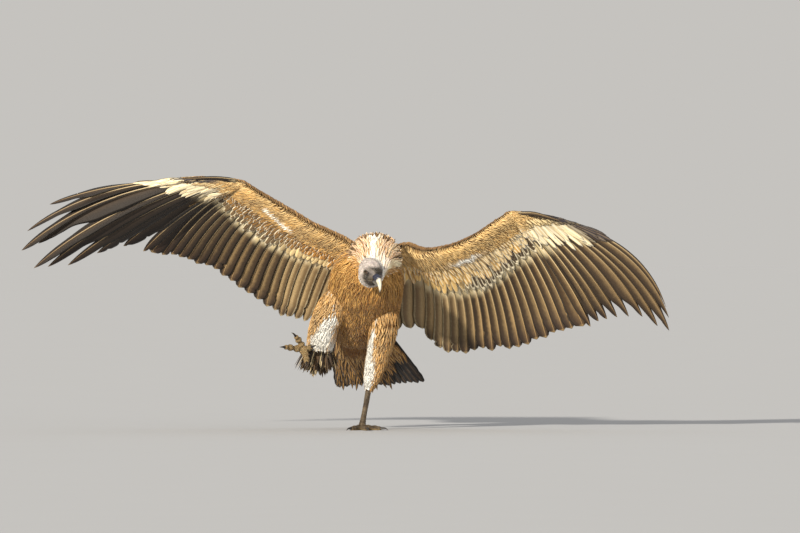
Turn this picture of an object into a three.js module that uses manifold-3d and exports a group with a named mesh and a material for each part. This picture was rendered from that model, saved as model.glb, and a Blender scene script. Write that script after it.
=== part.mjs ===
// Griffon vulture, life size, striding on its left foot with both wings spread.
// Millimetres, +Z up. The bird faces -Y, so its left side lies towards +X.
// The bird is laid out in a working frame whose floor is z = 0; the last step moves it sideways so
// that the origin is the middle of the bounding box's bottom face.
import * as THREE from "three";
import { mergeVertices } from "three/addons/utils/BufferGeometryUtils.js";
import Module from "manifold-3d";

const wasm = await Module();
wasm.setup();

// ---------------------------------------------------------------- driving dimensions
const GAP = 0.3; // clearance between touching pieces

// Trunk, from the base of the neck to the root of the tail, vent feathers included.
// Widths and depths are [share of the length, half size].
const TRUNK_SPINE = [[95, -125, 596], [80, -85, 545], [66, -10, 450], [64, 78, 366], [74, 150, 300]];
const TRUNK_WIDTH = [[0, 62], [0.14, 98], [0.34, 124], [0.55, 122], [0.76, 112], [0.92, 104], [1, 84]];
const TRUNK_DEPTH = [[0, 52], [0.14, 88], [0.34, 112], [0.55, 106], [0.76, 84], [0.92, 58], [1, 30]];

// The neck leaves the ruff, sags below the head and rises again to the nape.
const NECK_SPINE = [
  [99, -88, 590], [98, -140, 586], [94, -195, 556],
  [89, -245, 532], [86, -285, 533], [82, -306, 548],
];
const NECK_RADIUS = [[0, 48], [0.3, 44], [0.75, 41], [1, 33]];

const HEAD_CENTRE = [89, -320, 551]; // middle of the braincase
const HEAD_YAW = 24; // degrees, towards the bird's left
const HEAD_PITCH = 30; // degrees, downwards
// The head along its own axis, from nape to cere: place, half width, half height, height of the middle.
const HEAD_SECTIONS = [
  [-44, 11, 11, 0],
  [-36, 26, 26, -1],
  [-18, 38, 38, -4],
  [0, 41, 41.5, -6.5],
  [18, 37, 41, -9],
  [32, 27, 35, -11],
  [44, 18, 25, -9],
  [50, 14, 18, -6],
];
// The bill's two halves: place along the head's axis, half width, half depth, height of the middle.
const UPPER_BILL = [
  [46, 13, 11, 1],
  [58, 12.5, 12, 3],
  [70, 11, 12.5, 2.5],
  [80, 9, 11, -2],
  [90, 6.5, 8, -10],
  [97, 4, 5, -20],
  [99, 1.4, 1.6, -30],
];
const LOWER_BILL = [
  [46, 11.5, 5.5, -17],
  [58, 10.5, 5, -16.5],
  [70, 9, 4.5, -16],
  [80, 6.5, 3.5, -15.5],
  [88, 2.5, 1.5, -14.5],
];
const EYE_PLACE = [25, 23.5, 4]; // along, sideways and up from the middle of the braincase
const EYE_RADIUS = 8;

const RUFF_CENTRE = [101, -150, 590];
const RUFF_RADIUS = 92;
const RUFF_THROAT = 38; // radius at the neck
const RUFF_REACH = 72; // how far the funnel runs down the neck, in front of its centre
const RUFF_SAG = 44; // how far it sinks with the neck there
const RUFF_UPPER_SHARE = 0.92; // height of the upper half, as a share of its radius
const RUFF_LOWER_SHARE = 0.6; // the feathers are short below, where they lie on the crop
const RUFF_FEATHERS = 14;

const TAIL_BASE = [64, 150, 300];
const TAIL_AXIS = [0.266, 0.76, -0.593];
const TAIL_SIDE = [0.964, -0.265, 0.043];
const TAIL_LENGTH = 281;
const TAIL_BASE_HALF = 110; // half width at the root, vent feathers and tail coverts included
const TAIL_TIP_HALF = 164; // half width of the spread tips
const TAIL_ROUNDING = 0.17; // share by which the outer feathers are shorter
const TAIL_ARCH = 22; // how far the outer feathers droop
const TAIL_FEATHERS = 14;

const SECONDARIES = 18;
const TERTIALS = 6;
const PRIMARIES = 10;
const ARM_SHARE = 0.42; // share of the chord taken by the arm and its coverts
const HAND_SHARE = 0.2;
const CAMBER = 0.07; // rise of the wing's middle towards its upper side, as a share of the chord
const TERTIAL_END = 0.25; // where the tertials give way to the secondaries, as a share of the arm
const ELBOW = 0.4;

// Each wing: leading edge of the arm and of the hand, then the tips of its feathers from the body
// outwards. bow is how far each primary bends towards the leading edge, and fingerFrom is the share
// of the feather's length at which it parts from its inner neighbour.
const WINGS = {
  right: {
    arm: [
      [50, -50, 606], [10, -62, 640], [-48, -75, 671], [-112, -88, 700],
      [-177, -98, 739], [-248, -106, 781], [-300, -110, 814], [-347, -112, 846],
    ],
    hand: [[-347, -112, 846], [-395, -112, 858], [-476, -108, 858], [-551, -98, 849]],
    secondaryTips: [
      [-30, 130, 395], [-105, 185, 372], [-178, 205, 364], [-250, 215, 398],
      [-360, 200, 468], [-455, 180, 540], [-560, 150, 576], [-655, 120, 602],
    ],
    primaryTips: [
      [-690, 110, 608], [-757, 92, 626], [-847, 72, 602], [-946, 55, 561], [-1014, 40, 556],
      [-1061, 28, 552], [-1046, 22, 636], [-1103, 20, 612], [-1084, 30, 678], [-1008, 48, 769],
    ],
    bow: [10, 14, 20, 30, 38, 42, 48, 52, 46, 22],
    fingerFrom: [1, 0.86, 0.86, 0.7, 0.7, 0.55, 0.55, 0.55, 0.55, 0.7],
    alula: [[-372, -126, 856], [-440, -122, 862], [-570, -100, 856]],
  },
  left: {
    arm: [
      [150, -50, 598], [200, -62, 628], [258, -72, 612], [318, -82, 617],
      [384, -92, 636], [450, -98, 670], [508, -100, 711], [561, -98, 747],
    ],
    hand: [[561, -98, 747], [612, -84, 745], [665, -56, 733], [720, -15, 714]],
    secondaryTips: [
      [110, 124, 370], [190, 160, 336], [266, 176, 326], [324, 180, 266], [402, 176, 254],
      [482, 168, 264], [562, 152, 272], [646, 128, 293], [728, 98, 321], [808, 68, 342],
    ],
    primaryTips: [
      [836, 58, 352], [864, 66, 370], [893, 80, 377], [928, 98, 383], [968, 118, 385],
      [1015, 140, 384], [1067, 165, 352], [1107, 186, 336], [1106, 180, 380], [1096, 168, 416],
    ],
    bow: [12, 16, 20, 26, 34, 42, 50, 60, 68, 66],
    fingerFrom: [1, 0.86, 0.86, 0.86, 0.86, 0.86, 0.7, 0.7, 0.55, 0.55],
    alula: [[588, -106, 742], [640, -90, 741], [732, -38, 714]],
  },
};
const ROWS_ALONG_PRIMARY = [0.14, 0.35, 0.55, 0.7, 0.86, 1];
const PRIMARY_PLEAT = 3.6; // every other primary lies this far up and the rest as far down, to pass free

// Each leg: the feathered thigh, the bare tarsus from ankle to foot, the way the sole faces, and the
// toes with the way they point, their length and how far they bend, in radians.
const LEGS = {
  left: {
    standing: true,
    thigh: [[108, 0, 432], [131, -36, 368], [121, -14, 296], [104, 10, 224], [88, 28, 166], [81, 33, 136]],
    thighWidth: [[0, 46], [0.2, 52], [0.42, 43], [0.64, 35], [0.84, 24], [1, 13]],
    thighDepth: [[0, 50], [0.2, 60], [0.42, 50], [0.64, 38], [0.84, 26], [1, 13]],
    ankle: [82, 33, 152],
    foot: [57, 8, 9],
    sole: [0, 0, -1],
    toes: {
      inner: { heading: [-0.6, -0.8, 0], length: 66, bend: 0.1 },
      middle: { heading: [0.2, -0.98, 0], length: 98, bend: 0.06 },
      outer: { heading: [0.93, -0.36, 0], length: 74, bend: 0.08 },
      hind: { heading: [-0.3, 0.95, 0], length: 44, bend: 0.1 },
    },
  },
  right: {
    standing: false,
    thigh: [
      [28, -10, 474], [-34, -48, 424], [-66, -26, 370],
      [-82, 6, 308], [-92, 28, 252], [-108, 42, 198],
    ],
    thighWidth: [[0, 46], [0.2, 54], [0.42, 50], [0.64, 47], [0.84, 38], [1, 10]],
    thighDepth: [[0, 50], [0.2, 60], [0.42, 52], [0.64, 42], [0.84, 26], [1, 8]],
    ankle: [-104, 48, 280],
    foot: [-140, -66, 274],
    sole: [-0.25, -0.96, -0.05],
    toes: {
      inner: { heading: [0.35, -0.35, -0.9], length: 58, bend: 1.1 },
      middle: { heading: [-0.95, -0.1, 0.22], length: 76, bend: 1.25 },
      outer: { heading: [-0.4, -0.05, 0.9], length: 64, bend: 0.95 },
      hind: { heading: [0.92, 0.1, 0.35], length: 36, bend: 0.8 },
    },
  },
};
const TARSUS_RADIUS = 8.5;
const PAD_RADIUS = 17;
const TOE_RADIUS = 10;
const TOE_TAPER = 0.76;
const TOE_SINK = 2.4; // how far a toe's round underside is pressed flat on the floor
const PAD_SINK = 9; // the same for the pad under the foot
const CLAW_LENGTH = 27;

const COLOURS = {
  plumage: 0x9a6a35,
  pale: 0xe8dcc4,
  down: 0xa7a2a6,
  flight: 0x4a3c30,
  horn: 0xcfc6b2,
  eye: 0x6b4a26,
  scale: 0x7d766a,
  claw: 0x2c2825,
};

// ---------------------------------------------------------------- small helpers
const vec = (p) => new THREE.Vector3(...p);
const curve = (points) => new THREE.CatmullRomCurve3(points.map(vec), false, "centripetal");
const { clamp, degToRad, lerp, smoothstep } = THREE.MathUtils;

// Value at u of a list of [place, value, ...] stops, straight between neighbours.
function ramp(stops, u, column = 1) {
  const next = stops.findIndex((stop) => stop[0] >= u);
  if (next === 0) return stops[0][column];
  if (next < 0) return stops[stops.length - 1][column];
  const [before, after] = [stops[next - 1], stops[next]];
  return lerp(before[column], after[column], (u - before[0]) / (after[0] - before[0]));
}

// A geometry as a closed solid with its faces pointing out.
function solidOf(geometry) {
  const bare = new THREE.BufferGeometry().setAttribute("position", geometry.getAttribute("position"));
  const merged = mergeVertices(bare.setIndex(geometry.index), 1e-3);
  const triVerts = new Uint32Array(merged.index.array);
  const vertProperties = new Float32Array(merged.attributes.position.array);
  const make = () => new wasm.Manifold(new wasm.Mesh({ numProp: 3, vertProperties, triVerts }));
  const solid = make();
  if (solid.volume() > 0) return solid;
  for (let i = 0; i < triVerts.length; i += 3) {
    [triVerts[i + 1], triVerts[i + 2]] = [triVerts[i + 2], triVerts[i + 1]];
  }
  return make();
}

// Moves every vertex of a geometry by place(x, y, z) and returns the solid.
function moulded(geometry, place) {
  const position = geometry.getAttribute("position");
  for (let i = 0; i < position.count; i += 1) {
    const p = place(position.getX(i), position.getY(i), position.getZ(i));
    position.setXYZ(i, p.x, p.y, p.z);
  }
  return solidOf(geometry);
}

// A body of round sections. place(u, across, up) puts a point of the section at u, from 0 to 1 along
// the body, where across and up run round the unit circle and are both 0 at the two ends.
function roundBody(around, along, place) {
  return moulded(new THREE.SphereGeometry(1, around, along), (x, y, z) => {
    const u = Math.acos(clamp(y, -1, 1)) / Math.PI;
    const round = Math.hypot(x, z);
    return round < 1e-6 ? place(u, 0, 0) : place(u, -x / round, z / round);
  });
}

// Round body along a path. width(u) and depth(u) are the half sizes of its sections, side is the rough
// direction of their width, grow thickens the body, and finish may move each finished point.
function loft({ path, width, depth, side, around, along, grow = 0, finish = (p) => p }) {
  return roundBody(around, along, (u, across, up) => {
    const tangent = path.getTangent(u);
    const sideways = vec(side).addScaledVector(tangent, -vec(side).dot(tangent)).normalize();
    const upwards = new THREE.Vector3().crossVectors(tangent, sideways);
    const point = path.getPoint(u);
    if (across === 0 && up === 0) point.addScaledVector(tangent, u < 0.5 ? -grow : grow);
    point.addScaledVector(sideways, across * (width(u) + grow));
    point.addScaledVector(upwards, up * (depth(u) + grow));
    return finish(point, u);
  });
}

// A sheet of cells between an upper and a lower layer of points. point(column, row, layer) gives the
// corners, layer being 1 above and -1 below, and present(column, row) says which cells are there.
function cellSheet(columns, rows, present, point) {
  const corners = [];
  const at = (column, row, layer) => point(column, row, layer).toArray();
  const face = (a, b, c, d) => corners.push(...a, ...b, ...c, ...a, ...c, ...d);
  const inside = (c, r) => c >= 0 && r >= 0 && c < columns && r < rows && present(c, r);
  const wall = (c0, r0, c1, r1) => face(at(c0, r0, -1), at(c1, r1, -1), at(c1, r1, 1), at(c0, r0, 1));
  for (let c = 0; c < columns; c += 1) {
    for (let r = 0; r < rows; r += 1) {
      if (!inside(c, r)) continue;
      face(at(c, r, 1), at(c + 1, r, 1), at(c + 1, r + 1, 1), at(c, r + 1, 1));
      face(at(c, r, -1), at(c, r + 1, -1), at(c + 1, r + 1, -1), at(c + 1, r, -1));
      if (!inside(c, r - 1)) wall(c, r, c + 1, r);
      if (!inside(c + 1, r)) wall(c + 1, r, c + 1, r + 1);
      if (!inside(c, r + 1)) wall(c + 1, r + 1, c, r + 1);
      if (!inside(c - 1, r)) wall(c, r + 1, c, r);
    }
  }
  const geometry = new THREE.BufferGeometry();
  geometry.setAttribute("position", new THREE.Float32BufferAttribute(corners, 3));
  return solidOf(geometry);
}

// What is left of a solid once the others are cut away; crumbs are dropped.
function cutBy(solid, others) {
  const left = others.reduce((rest, other) => rest.subtract(other), solid);
  return left.decompose().reduce((best, piece) => (piece.volume() > best.volume() ? piece : best));
}

const bird = new THREE.Group();

// Adds a solid to the bird as one named mesh.
function addNode(name, solid, colour, roughness = 0.85) {
  const { numProp, numVert, vertProperties, triVerts } = solid.getMesh();
  const xyz = new Float32Array(numVert * 3);
  for (let i = 0; i < numVert; i += 1) {
    xyz.set(vertProperties.subarray(i * numProp, i * numProp + 3), i * 3);
  }
  const geometry = new THREE.BufferGeometry();
  geometry.setAttribute("position", new THREE.BufferAttribute(xyz, 3));
  geometry.setIndex(new THREE.BufferAttribute(triVerts, 1));
  const material = new THREE.MeshStandardMaterial({ color: colour, roughness, metalness: 0 });
  const mesh = new THREE.Mesh(geometry, material);
  mesh.name = name;
  bird.add(mesh);
}

// ---------------------------------------------------------------- trunk
const trunkBody = (grow) =>
  loft({
    path: curve(TRUNK_SPINE),
    width: (u) => ramp(TRUNK_WIDTH, u),
    depth: (u) => ramp(TRUNK_DEPTH, u),
    side: [1, 0, 0],
    around: 18,
    along: 12,
    grow,
  });
const aroundTrunk = trunkBody(GAP);
addNode("trunk", trunkBody(0), COLOURS.plumage);

// ---------------------------------------------------------------- head, bill and eyes
const [yaw, pitch] = [degToRad(HEAD_YAW), degToRad(HEAD_PITCH)];
const level = new THREE.Vector3(Math.sin(yaw), -Math.cos(yaw), 0);
const headForward = level.clone().multiplyScalar(Math.cos(pitch)).setZ(-Math.sin(pitch));
const headUp = level.clone().multiplyScalar(Math.sin(pitch)).setZ(Math.cos(pitch));
const headRight = new THREE.Vector3().crossVectors(headForward, headUp);

const headPoint = (along, sideways, up) =>
  vec(HEAD_CENTRE)
    .addScaledVector(headForward, along)
    .addScaledVector(headRight, sideways)
    .addScaledVector(headUp, up);

// A closed body whose sections lie square to the head's axis, from a table with the columns place,
// half width, half height and height of the middle.
function headLoft(table, around, along, grow) {
  const [first, last] = [table[0][0] - grow, table[table.length - 1][0] + grow];
  return roundBody(around, along, (u, across, up) => {
    const place = lerp(first, last, u);
    const [wide, high, middle] = [1, 2, 3].map((column) => ramp(table, place, column));
    return headPoint(place, across * (wide + grow), middle + up * (high + grow));
  });
}

// One half of the bill, from a table like the head's, whose sections turn with the bend of the hook.
function billHalf(table, around, along, grow) {
  const path = curve(table.map(([place, , , middle]) => headPoint(place, 0, middle).toArray()));
  const byRow = table.map((row, index) => [index / (table.length - 1), ...row]);
  const width = (u) => ramp(byRow, u, 2);
  const depth = (u) => ramp(byRow, u, 3);
  return loft({ path, width, depth, side: headRight.toArray(), around, along, grow });
}

const eyeBall = (sign, grow) =>
  moulded(new THREE.SphereGeometry(EYE_RADIUS + grow, 9, 6), (x, y, z) => {
    const [along, sideways, up] = EYE_PLACE;
    return headPoint(along + z, sign * (sideways + y), up + x);
  });

const aroundUpperBill = billHalf(UPPER_BILL, 8, 9, GAP);
const aroundLowerBill = billHalf(LOWER_BILL, 8, 6, GAP);
const aroundEyes = [eyeBall(1, GAP), eyeBall(-1, GAP)];
const aroundHead = headLoft(HEAD_SECTIONS, 18, 12, GAP);
const head = cutBy(headLoft(HEAD_SECTIONS, 18, 12, 0), [aroundUpperBill, aroundLowerBill, ...aroundEyes]);
addNode("head", head, COLOURS.down);
addNode("bill_upper", billHalf(UPPER_BILL, 8, 9, 0), COLOURS.horn, 0.4);
addNode("bill_lower", cutBy(billHalf(LOWER_BILL, 8, 6, 0), [aroundUpperBill]), COLOURS.horn, 0.4);
addNode("eye_right", eyeBall(1, 0), COLOURS.eye, 0.1);
addNode("eye_left", eyeBall(-1, 0), COLOURS.eye, 0.1);

// ---------------------------------------------------------------- neck and ruff
const neckBody = (grow) =>
  loft({
    path: curve(NECK_SPINE),
    width: (u) => ramp(NECK_RADIUS, u),
    depth: (u) => ramp(NECK_RADIUS, u),
    side: [1, 0, 0],
    around: 12,
    along: 8,
    grow,
  });
addNode("neck", cutBy(neckBody(0), [aroundTrunk, aroundHead]), COLOURS.pale);

// A collar turned about the neck and open like a funnel, with a feather at each scallop of its rim. It
// sinks towards the head as the neck does.
function ruffBody() {
  const profile = [
    [RUFF_THROAT, -RUFF_REACH], [54, -46], [76, -18], [RUFF_RADIUS, 6],
    [RUFF_RADIUS, 10], [60, 38], [RUFF_THROAT, 42], [RUFF_THROAT, -RUFF_REACH],
  ];
  const ring = new THREE.LatheGeometry(profile.map((p) => new THREE.Vector2(...p)), RUFF_FEATHERS * 2);
  return moulded(ring, (x, y, z) => {
    const radius = Math.hypot(x, z);
    const outness = clamp((radius - RUFF_THROAT) / (RUFF_RADIUS - RUFF_THROAT), 0, 1);
    const scallop = 1 + 0.035 * outness * Math.cos(Math.atan2(z, x) * RUFF_FEATHERS);
    const share = z > 0 ? RUFF_UPPER_SHARE : RUFF_LOWER_SHARE;
    const height = lerp(1, share, (outness * Math.abs(z)) / radius);
    const sag = RUFF_SAG * (Math.max(0, -y) / RUFF_REACH) ** 2 * (1 - outness);
    return vec(RUFF_CENTRE).add(vec([x * scallop, y, z * scallop * height - sag]));
  });
}
addNode("ruff", cutBy(ruffBody(), [neckBody(GAP), aroundTrunk, aroundHead]), COLOURS.pale);

// ---------------------------------------------------------------- tail
// The fan, with a tooth at each feather's tip.
function tailBody() {
  const columns = TAIL_FEATHERS * 2;
  const upper = new THREE.Vector3().crossVectors(vec(TAIL_SIDE), vec(TAIL_AXIS)).normalize();
  return moulded(new THREE.BoxGeometry(1, 1, 1, columns, 3, 1), (x, y, z) => {
    const across = x * 2;
    const along = y + 0.5;
    const tooth = Math.round((x + 0.5) * columns) % 2 === 0 ? 0.95 : 1;
    const reach = TAIL_LENGTH * (1 - TAIL_ROUNDING * across * across) * lerp(1, tooth, along ** 4);
    const thickness = lerp(44, 3, Math.min(1, along * 1.5));
    return vec(TAIL_BASE)
      .addScaledVector(vec(TAIL_AXIS), reach * along)
      .addScaledVector(vec(TAIL_SIDE), across * lerp(TAIL_BASE_HALF, TAIL_TIP_HALF, along))
      .addScaledVector(upper, z * thickness - TAIL_ARCH * across * across * along);
  });
}
addNode("tail", cutBy(tailBody(), [aroundTrunk]), COLOURS.flight);

// ---------------------------------------------------------------- wings
// A point of a wing at q along its leading edge and at a share of the chord from there to the feather
// tips. lift moves it towards the wing's upper side.
function wingPoint(lead, tips, q, chordShare, lift) {
  const [front, tip] = [lead.getPoint(q), tips.getPoint(q)];
  const chord = tip.clone().sub(front);
  const upper = new THREE.Vector3().crossVectors(lead.getTangent(q), chord).normalize();
  if (upper.y < 0) upper.negate();
  const rise = CAMBER * chord.length() * 4 * chordShare * (1 - chordShare);
  return front.addScaledVector(chord, chordShare).addScaledVector(upper, rise + lift);
}

// A slab of the wing over a range of q and of the chord. half(q, chordShare) is its half thickness,
// and tooth is the depth of the notches between feather tips, as a share of the chord.
function wingSlab({ lead, tips, q, chord, columns, rows, half, tooth = 0, grow = 0 }) {
  const slab = new THREE.BoxGeometry(1, 1, 1, columns, rows, 1);
  const margin = grow / 300; // the slab's own range widens by about the same amount as its thickness
  return moulded(slab, (x, y, z) => {
    const at = lerp(q[0] - margin, q[1] + margin, x + 0.5);
    const notch = Math.round((x + 0.5) * columns) % 2 === 0 ? tooth * (y + 0.5) ** 4 : 0;
    const share = lerp(chord[0], chord[1] + margin, y + 0.5) * (1 - notch);
    return wingPoint(lead, tips, clamp(at, 0, 1), share, z * 2 * (half(at, share) + grow));
  });
}

// Half thickness of the wing. Its flesh swells to full size a quarter of the way across it.
const swelling = (share, fleshShare) => Math.sin(Math.PI * Math.sqrt(share / fleshShare) * 0.9 + 0.2);
const armHalf = (q, share) => 3.5 + lerp(26, 15, q) * swelling(share, ARM_SHARE);
const handHalf = (q, share) => 2.6 + lerp(11, 5, q) * swelling(share, HAND_SHARE);
const vaneHalf = (q, share) => lerp(4, 1.4, (share - ARM_SHARE) / (1 - ARM_SHARE));

// The hand's feathers. Each primary is a strip between two columns of points, and the cells between
// neighbours stop where the feathers part, so that their ends stand apart like fingers.
function primaryFan(wing, edge) {
  const hand = curve(wing.hand);
  const outward = new THREE.Vector3(Math.sign(wing.primaryTips[0][0]), 0, 1.2);
  const lines = wing.primaryTips.map((end, index) => {
    const root = hand.getPoint(lerp(0.02, 0.98, index / (PRIMARIES - 1)));
    const chord = vec(end).sub(root);
    const bend = outward.clone().addScaledVector(chord, -outward.dot(chord) / chord.lengthSq()).normalize();
    const middle = root.clone().addScaledVector(chord, 0.55).addScaledVector(bend, wing.bow[index] * 2);
    return new THREE.QuadraticBezierCurve3(root, middle, vec(end));
  });
  // How far the nearer neighbour is, measured square to the feather's own line.
  const spacing = (index, t) => {
    const [here, tangent] = [lines[index].getPoint(t), lines[index].getTangent(t)];
    const beside = [index - 1, index + 1].filter((other) => lines[other]);
    return Math.min(
      ...beside.map((other) => {
        const gap = lines[other].getPoint(t).sub(here);
        return gap.addScaledVector(tangent, -gap.dot(tangent)).length();
      }),
    );
  };
  const { fingerFrom } = wing;
  const point = (column, row, layer) => {
    const t = ROWS_ALONG_PRIMARY[row];
    if (column === 0) return edge(lerp(0.08, 0.97, t)).add(new THREE.Vector3(0, layer * vaneHalf(1, t), 0));
    const index = Math.floor((column - 1) / 2);
    const line = lines[index];
    const tipward = column % 2 === 0;
    const finger = lerp(30, index < 3 ? 24 : 15, smoothstep(t, 0.45, 0.8)) * (t === 1 ? 0.45 : 1);
    const parted = t > (fingerFrom[tipward ? index + 1 : index] ?? fingerFrom[index]);
    const half = parted ? finger : Math.min(finger, 0.47 * spacing(index, t));
    const tangent = line.getTangent(t);
    const inner = lines[Math.max(0, index - 1)].getPoint(t);
    const across = lines[Math.min(PRIMARIES - 1, index + 1)].getPoint(t).sub(inner);
    across.addScaledVector(tangent, -across.dot(tangent)).normalize();
    const upper = new THREE.Vector3().crossVectors(tangent, across);
    if (upper.y < 0) upper.negate();
    const pleat = (index % 2 ? PRIMARY_PLEAT : -PRIMARY_PLEAT) * smoothstep(t, 0.14, 0.55);
    return line
      .getPoint(t)
      .addScaledVector(across, tipward ? half : -half)
      .addScaledVector(upper, layer * lerp(3.2, 1.2, t) + pleat);
  };
  const present = (cell, row) => cell % 2 === 1 || ROWS_ALONG_PRIMARY[row + 1] <= fingerFrom[cell / 2];
  return cellSheet(PRIMARIES * 2, ROWS_ALONG_PRIMARY.length - 1, present, point);
}

function addWing(side, wing) {
  const [arm, hand] = [curve(wing.arm), curve(wing.hand)];
  const [armTips, handTips] = [curve(wing.secondaryTips), curve(wing.primaryTips)];
  const flesh = { lead: arm, tips: armTips, chord: [0, ARM_SHARE], rows: 5, half: armHalf };
  const upperArm = (grow) => wingSlab({ ...flesh, q: [0, ELBOW], columns: 5, grow });
  const forearm = (grow) => wingSlab({ ...flesh, q: [ELBOW + 0.001, 0.998], columns: 8, grow });
  const palm = (grow) =>
    wingSlab({
      lead: hand,
      tips: handTips,
      q: [0.004, 1],
      chord: [0, HAND_SHARE],
      columns: 6,
      rows: 4,
      half: handHalf,
      grow,
    });
  const aroundArm = [upperArm(GAP), forearm(GAP)];

  const vanes = { lead: arm, tips: armTips, chord: [ARM_SHARE - 0.01, 1], rows: 2, half: vaneHalf };
  const tertials = wingSlab({ ...vanes, q: [0, TERTIAL_END], columns: TERTIALS * 2, tooth: 0.035 });
  const secondaryFan = (grow, tooth) =>
    wingSlab({ ...vanes, q: [TERTIAL_END + 0.001, 0.998], columns: SECONDARIES * 2, tooth, grow });
  const aroundSecondaries = secondaryFan(GAP, 0);
  const outerEdge = (share) => wingPoint(arm, armTips, 0.999, share, 0);
  const fan = cutBy(primaryFan(wing, outerEdge), [palm(GAP), ...aroundArm, aroundSecondaries]);
  const alula = loft({
    path: curve(wing.alula),
    width: (u) => lerp(9, 5, u),
    depth: (u) => lerp(4, 1.6, u),
    side: [0, 0, 1],
    around: 6,
    along: 5,
  });

  addNode(`wing_${side}_upper_arm`, cutBy(upperArm(0), [aroundTrunk]), COLOURS.plumage);
  addNode(`wing_${side}_forearm`, forearm(0), COLOURS.plumage);
  addNode(`wing_${side}_hand`, cutBy(palm(0), [...aroundArm, aroundSecondaries]), COLOURS.plumage);
  addNode(`wing_${side}_tertials`, cutBy(tertials, [aroundTrunk, ...aroundArm]), COLOURS.flight);
  addNode(`wing_${side}_secondaries`, cutBy(secondaryFan(0, 0.035), aroundArm), COLOURS.flight);
  addNode(`wing_${side}_primaries`, fan, COLOURS.flight);
  addNode(`wing_${side}_alula`, cutBy(alula, [palm(GAP), ...aroundArm, fan]), COLOURS.flight);
}
Object.entries(WINGS).forEach(([side, wing]) => addWing(side, wing));

// ---------------------------------------------------------------- legs and feet
const onFloor = (point) => point.setZ(Math.max(0, point.z));

// The line of a toe: it leaves the foot along heading and bends towards the sole's side.
function toeLine(leg, { heading, length, bend }) {
  const [ahead, sole] = [vec(heading).normalize(), vec(leg.sole).normalize()];
  const steps = [0, 1, 2, 3, 4].map((step) => (bend * step) / 4);
  const points = steps.map((angle) =>
    vec(leg.foot)
      .addScaledVector(ahead, (length * Math.sin(angle)) / bend)
      .addScaledVector(sole, (length * (1 - Math.cos(angle))) / bend),
  );
  return curve(points.map((point) => point.toArray()));
}

function addLeg(side, leg) {
  const finish = leg.standing ? onFloor : (point) => point;
  const thigh = (grow) =>
    loft({
      path: curve(leg.thigh),
      width: (u) => ramp(leg.thighWidth, u),
      depth: (u) => ramp(leg.thighDepth, u),
      side: [1, 0, 0],
      around: 12,
      along: 9,
      grow,
    });
  addNode(`thigh_${side}`, cutBy(thigh(0), [aroundTrunk]), COLOURS.plumage);

  const soleDepth = leg.standing ? leg.foot[2] + PAD_SINK : PAD_RADIUS * 0.7;
  const sole = vec(leg.foot).addScaledVector(vec(leg.sole).normalize(), soleDepth);
  const halfway = vec(leg.ankle).lerp(vec(leg.foot), 0.5);
  const shin = curve([leg.ankle, halfway.toArray(), leg.foot, sole.toArray()]);
  const shaft = [[0, 11], [0.25, TARSUS_RADIUS], [0.7, TARSUS_RADIUS], [0.86, PAD_RADIUS], [1, PAD_RADIUS]];
  const radius = (u) => ramp(shaft, u);
  const tarsus = (grow) =>
    loft({ path: shin, width: radius, depth: radius, side: [1, 0, 0], around: 9, along: 9, grow, finish });
  addNode(`tarsus_${side}`, cutBy(tarsus(0), [thigh(GAP)]), COLOURS.scale, 0.6);

  const taken = [tarsus(GAP)];
  for (const [name, toe] of Object.entries(leg.toes)) {
    const line = toeLine(leg, toe);
    const tipHeight = TOE_RADIUS * TOE_TAPER - TOE_SINK;
    const lay = (point, u) => {
      if (!leg.standing) return point;
      const lineHeight = lerp(leg.foot[2], line.getPoint(1).z, u);
      return point.setZ(point.z - lineHeight + lerp(leg.foot[2], tipHeight, u));
    };
    const thick = (u) => TOE_RADIUS * lerp(1, TOE_TAPER, u) * (1 + 0.07 * Math.cos(u * 6 * Math.PI));
    const toeBody = (grow) =>
      loft({
        path: line,
        width: thick,
        depth: thick,
        side: leg.standing ? [0, 0, 1] : leg.sole,
        around: 7, // an odd number puts a flat side under the toe
        along: 6,
        grow,
        finish: (point, u) => finish(lay(point, u)),
      });
    addNode(`toe_${side}_${name}`, cutBy(toeBody(0), taken), COLOURS.scale, 0.6);

    const [end, ahead] = [lay(line.getPoint(0.96), 0.96), line.getTangent(1)];
    const hook = leg.standing ? new THREE.Vector3(0, 0, -1) : vec(leg.sole).normalize();
    const [rise, drop] = leg.standing ? [1.5, end.z - 2] : [1, 12];
    const clawLine = curve([
      end.toArray(),
      end.clone().addScaledVector(ahead, CLAW_LENGTH * 0.5).addScaledVector(hook, -rise).toArray(),
      end.clone().addScaledVector(ahead, CLAW_LENGTH * 0.95).addScaledVector(hook, drop).toArray(),
    ]);
    const claw = loft({
      path: clawLine,
      width: (u) => lerp(5.5, 1.2, u),
      depth: (u) => lerp(5, 1.2, u),
      side: hook.toArray(),
      around: 5,
      along: 4,
      finish,
    });
    taken.push(toeBody(GAP));
    addNode(`claw_${side}_${name}`, cutBy(claw, taken), COLOURS.claw, 0.45);
  }
}
Object.entries(LEGS).forEach(([side, leg]) => addLeg(side, leg));

// ---------------------------------------------------------------- origin
const box = new THREE.Box3().setFromObject(bird);
const middle = box.getCenter(new THREE.Vector3());
bird.children.forEach((mesh) => mesh.geometry.translate(-middle.x, -middle.y, -box.min.z));

export default bird;
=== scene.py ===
"""A griffon vulture, life size, striding on its left foot with both wings spread.

Lengths are millimetres until a mesh is put together. The bird is laid out over a floor at z = 0, in
the working frame of its solids: it faces -y and its left wing reaches towards +x. HOME moves it from
there to the row's origin. One skin carries the body, and the coat over it is made of closed vanes:
down on the head and neck, lanceolate feathers on the ruff and body, coverts in rows on the wings,
and long flight feathers behind them.
"""

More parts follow.
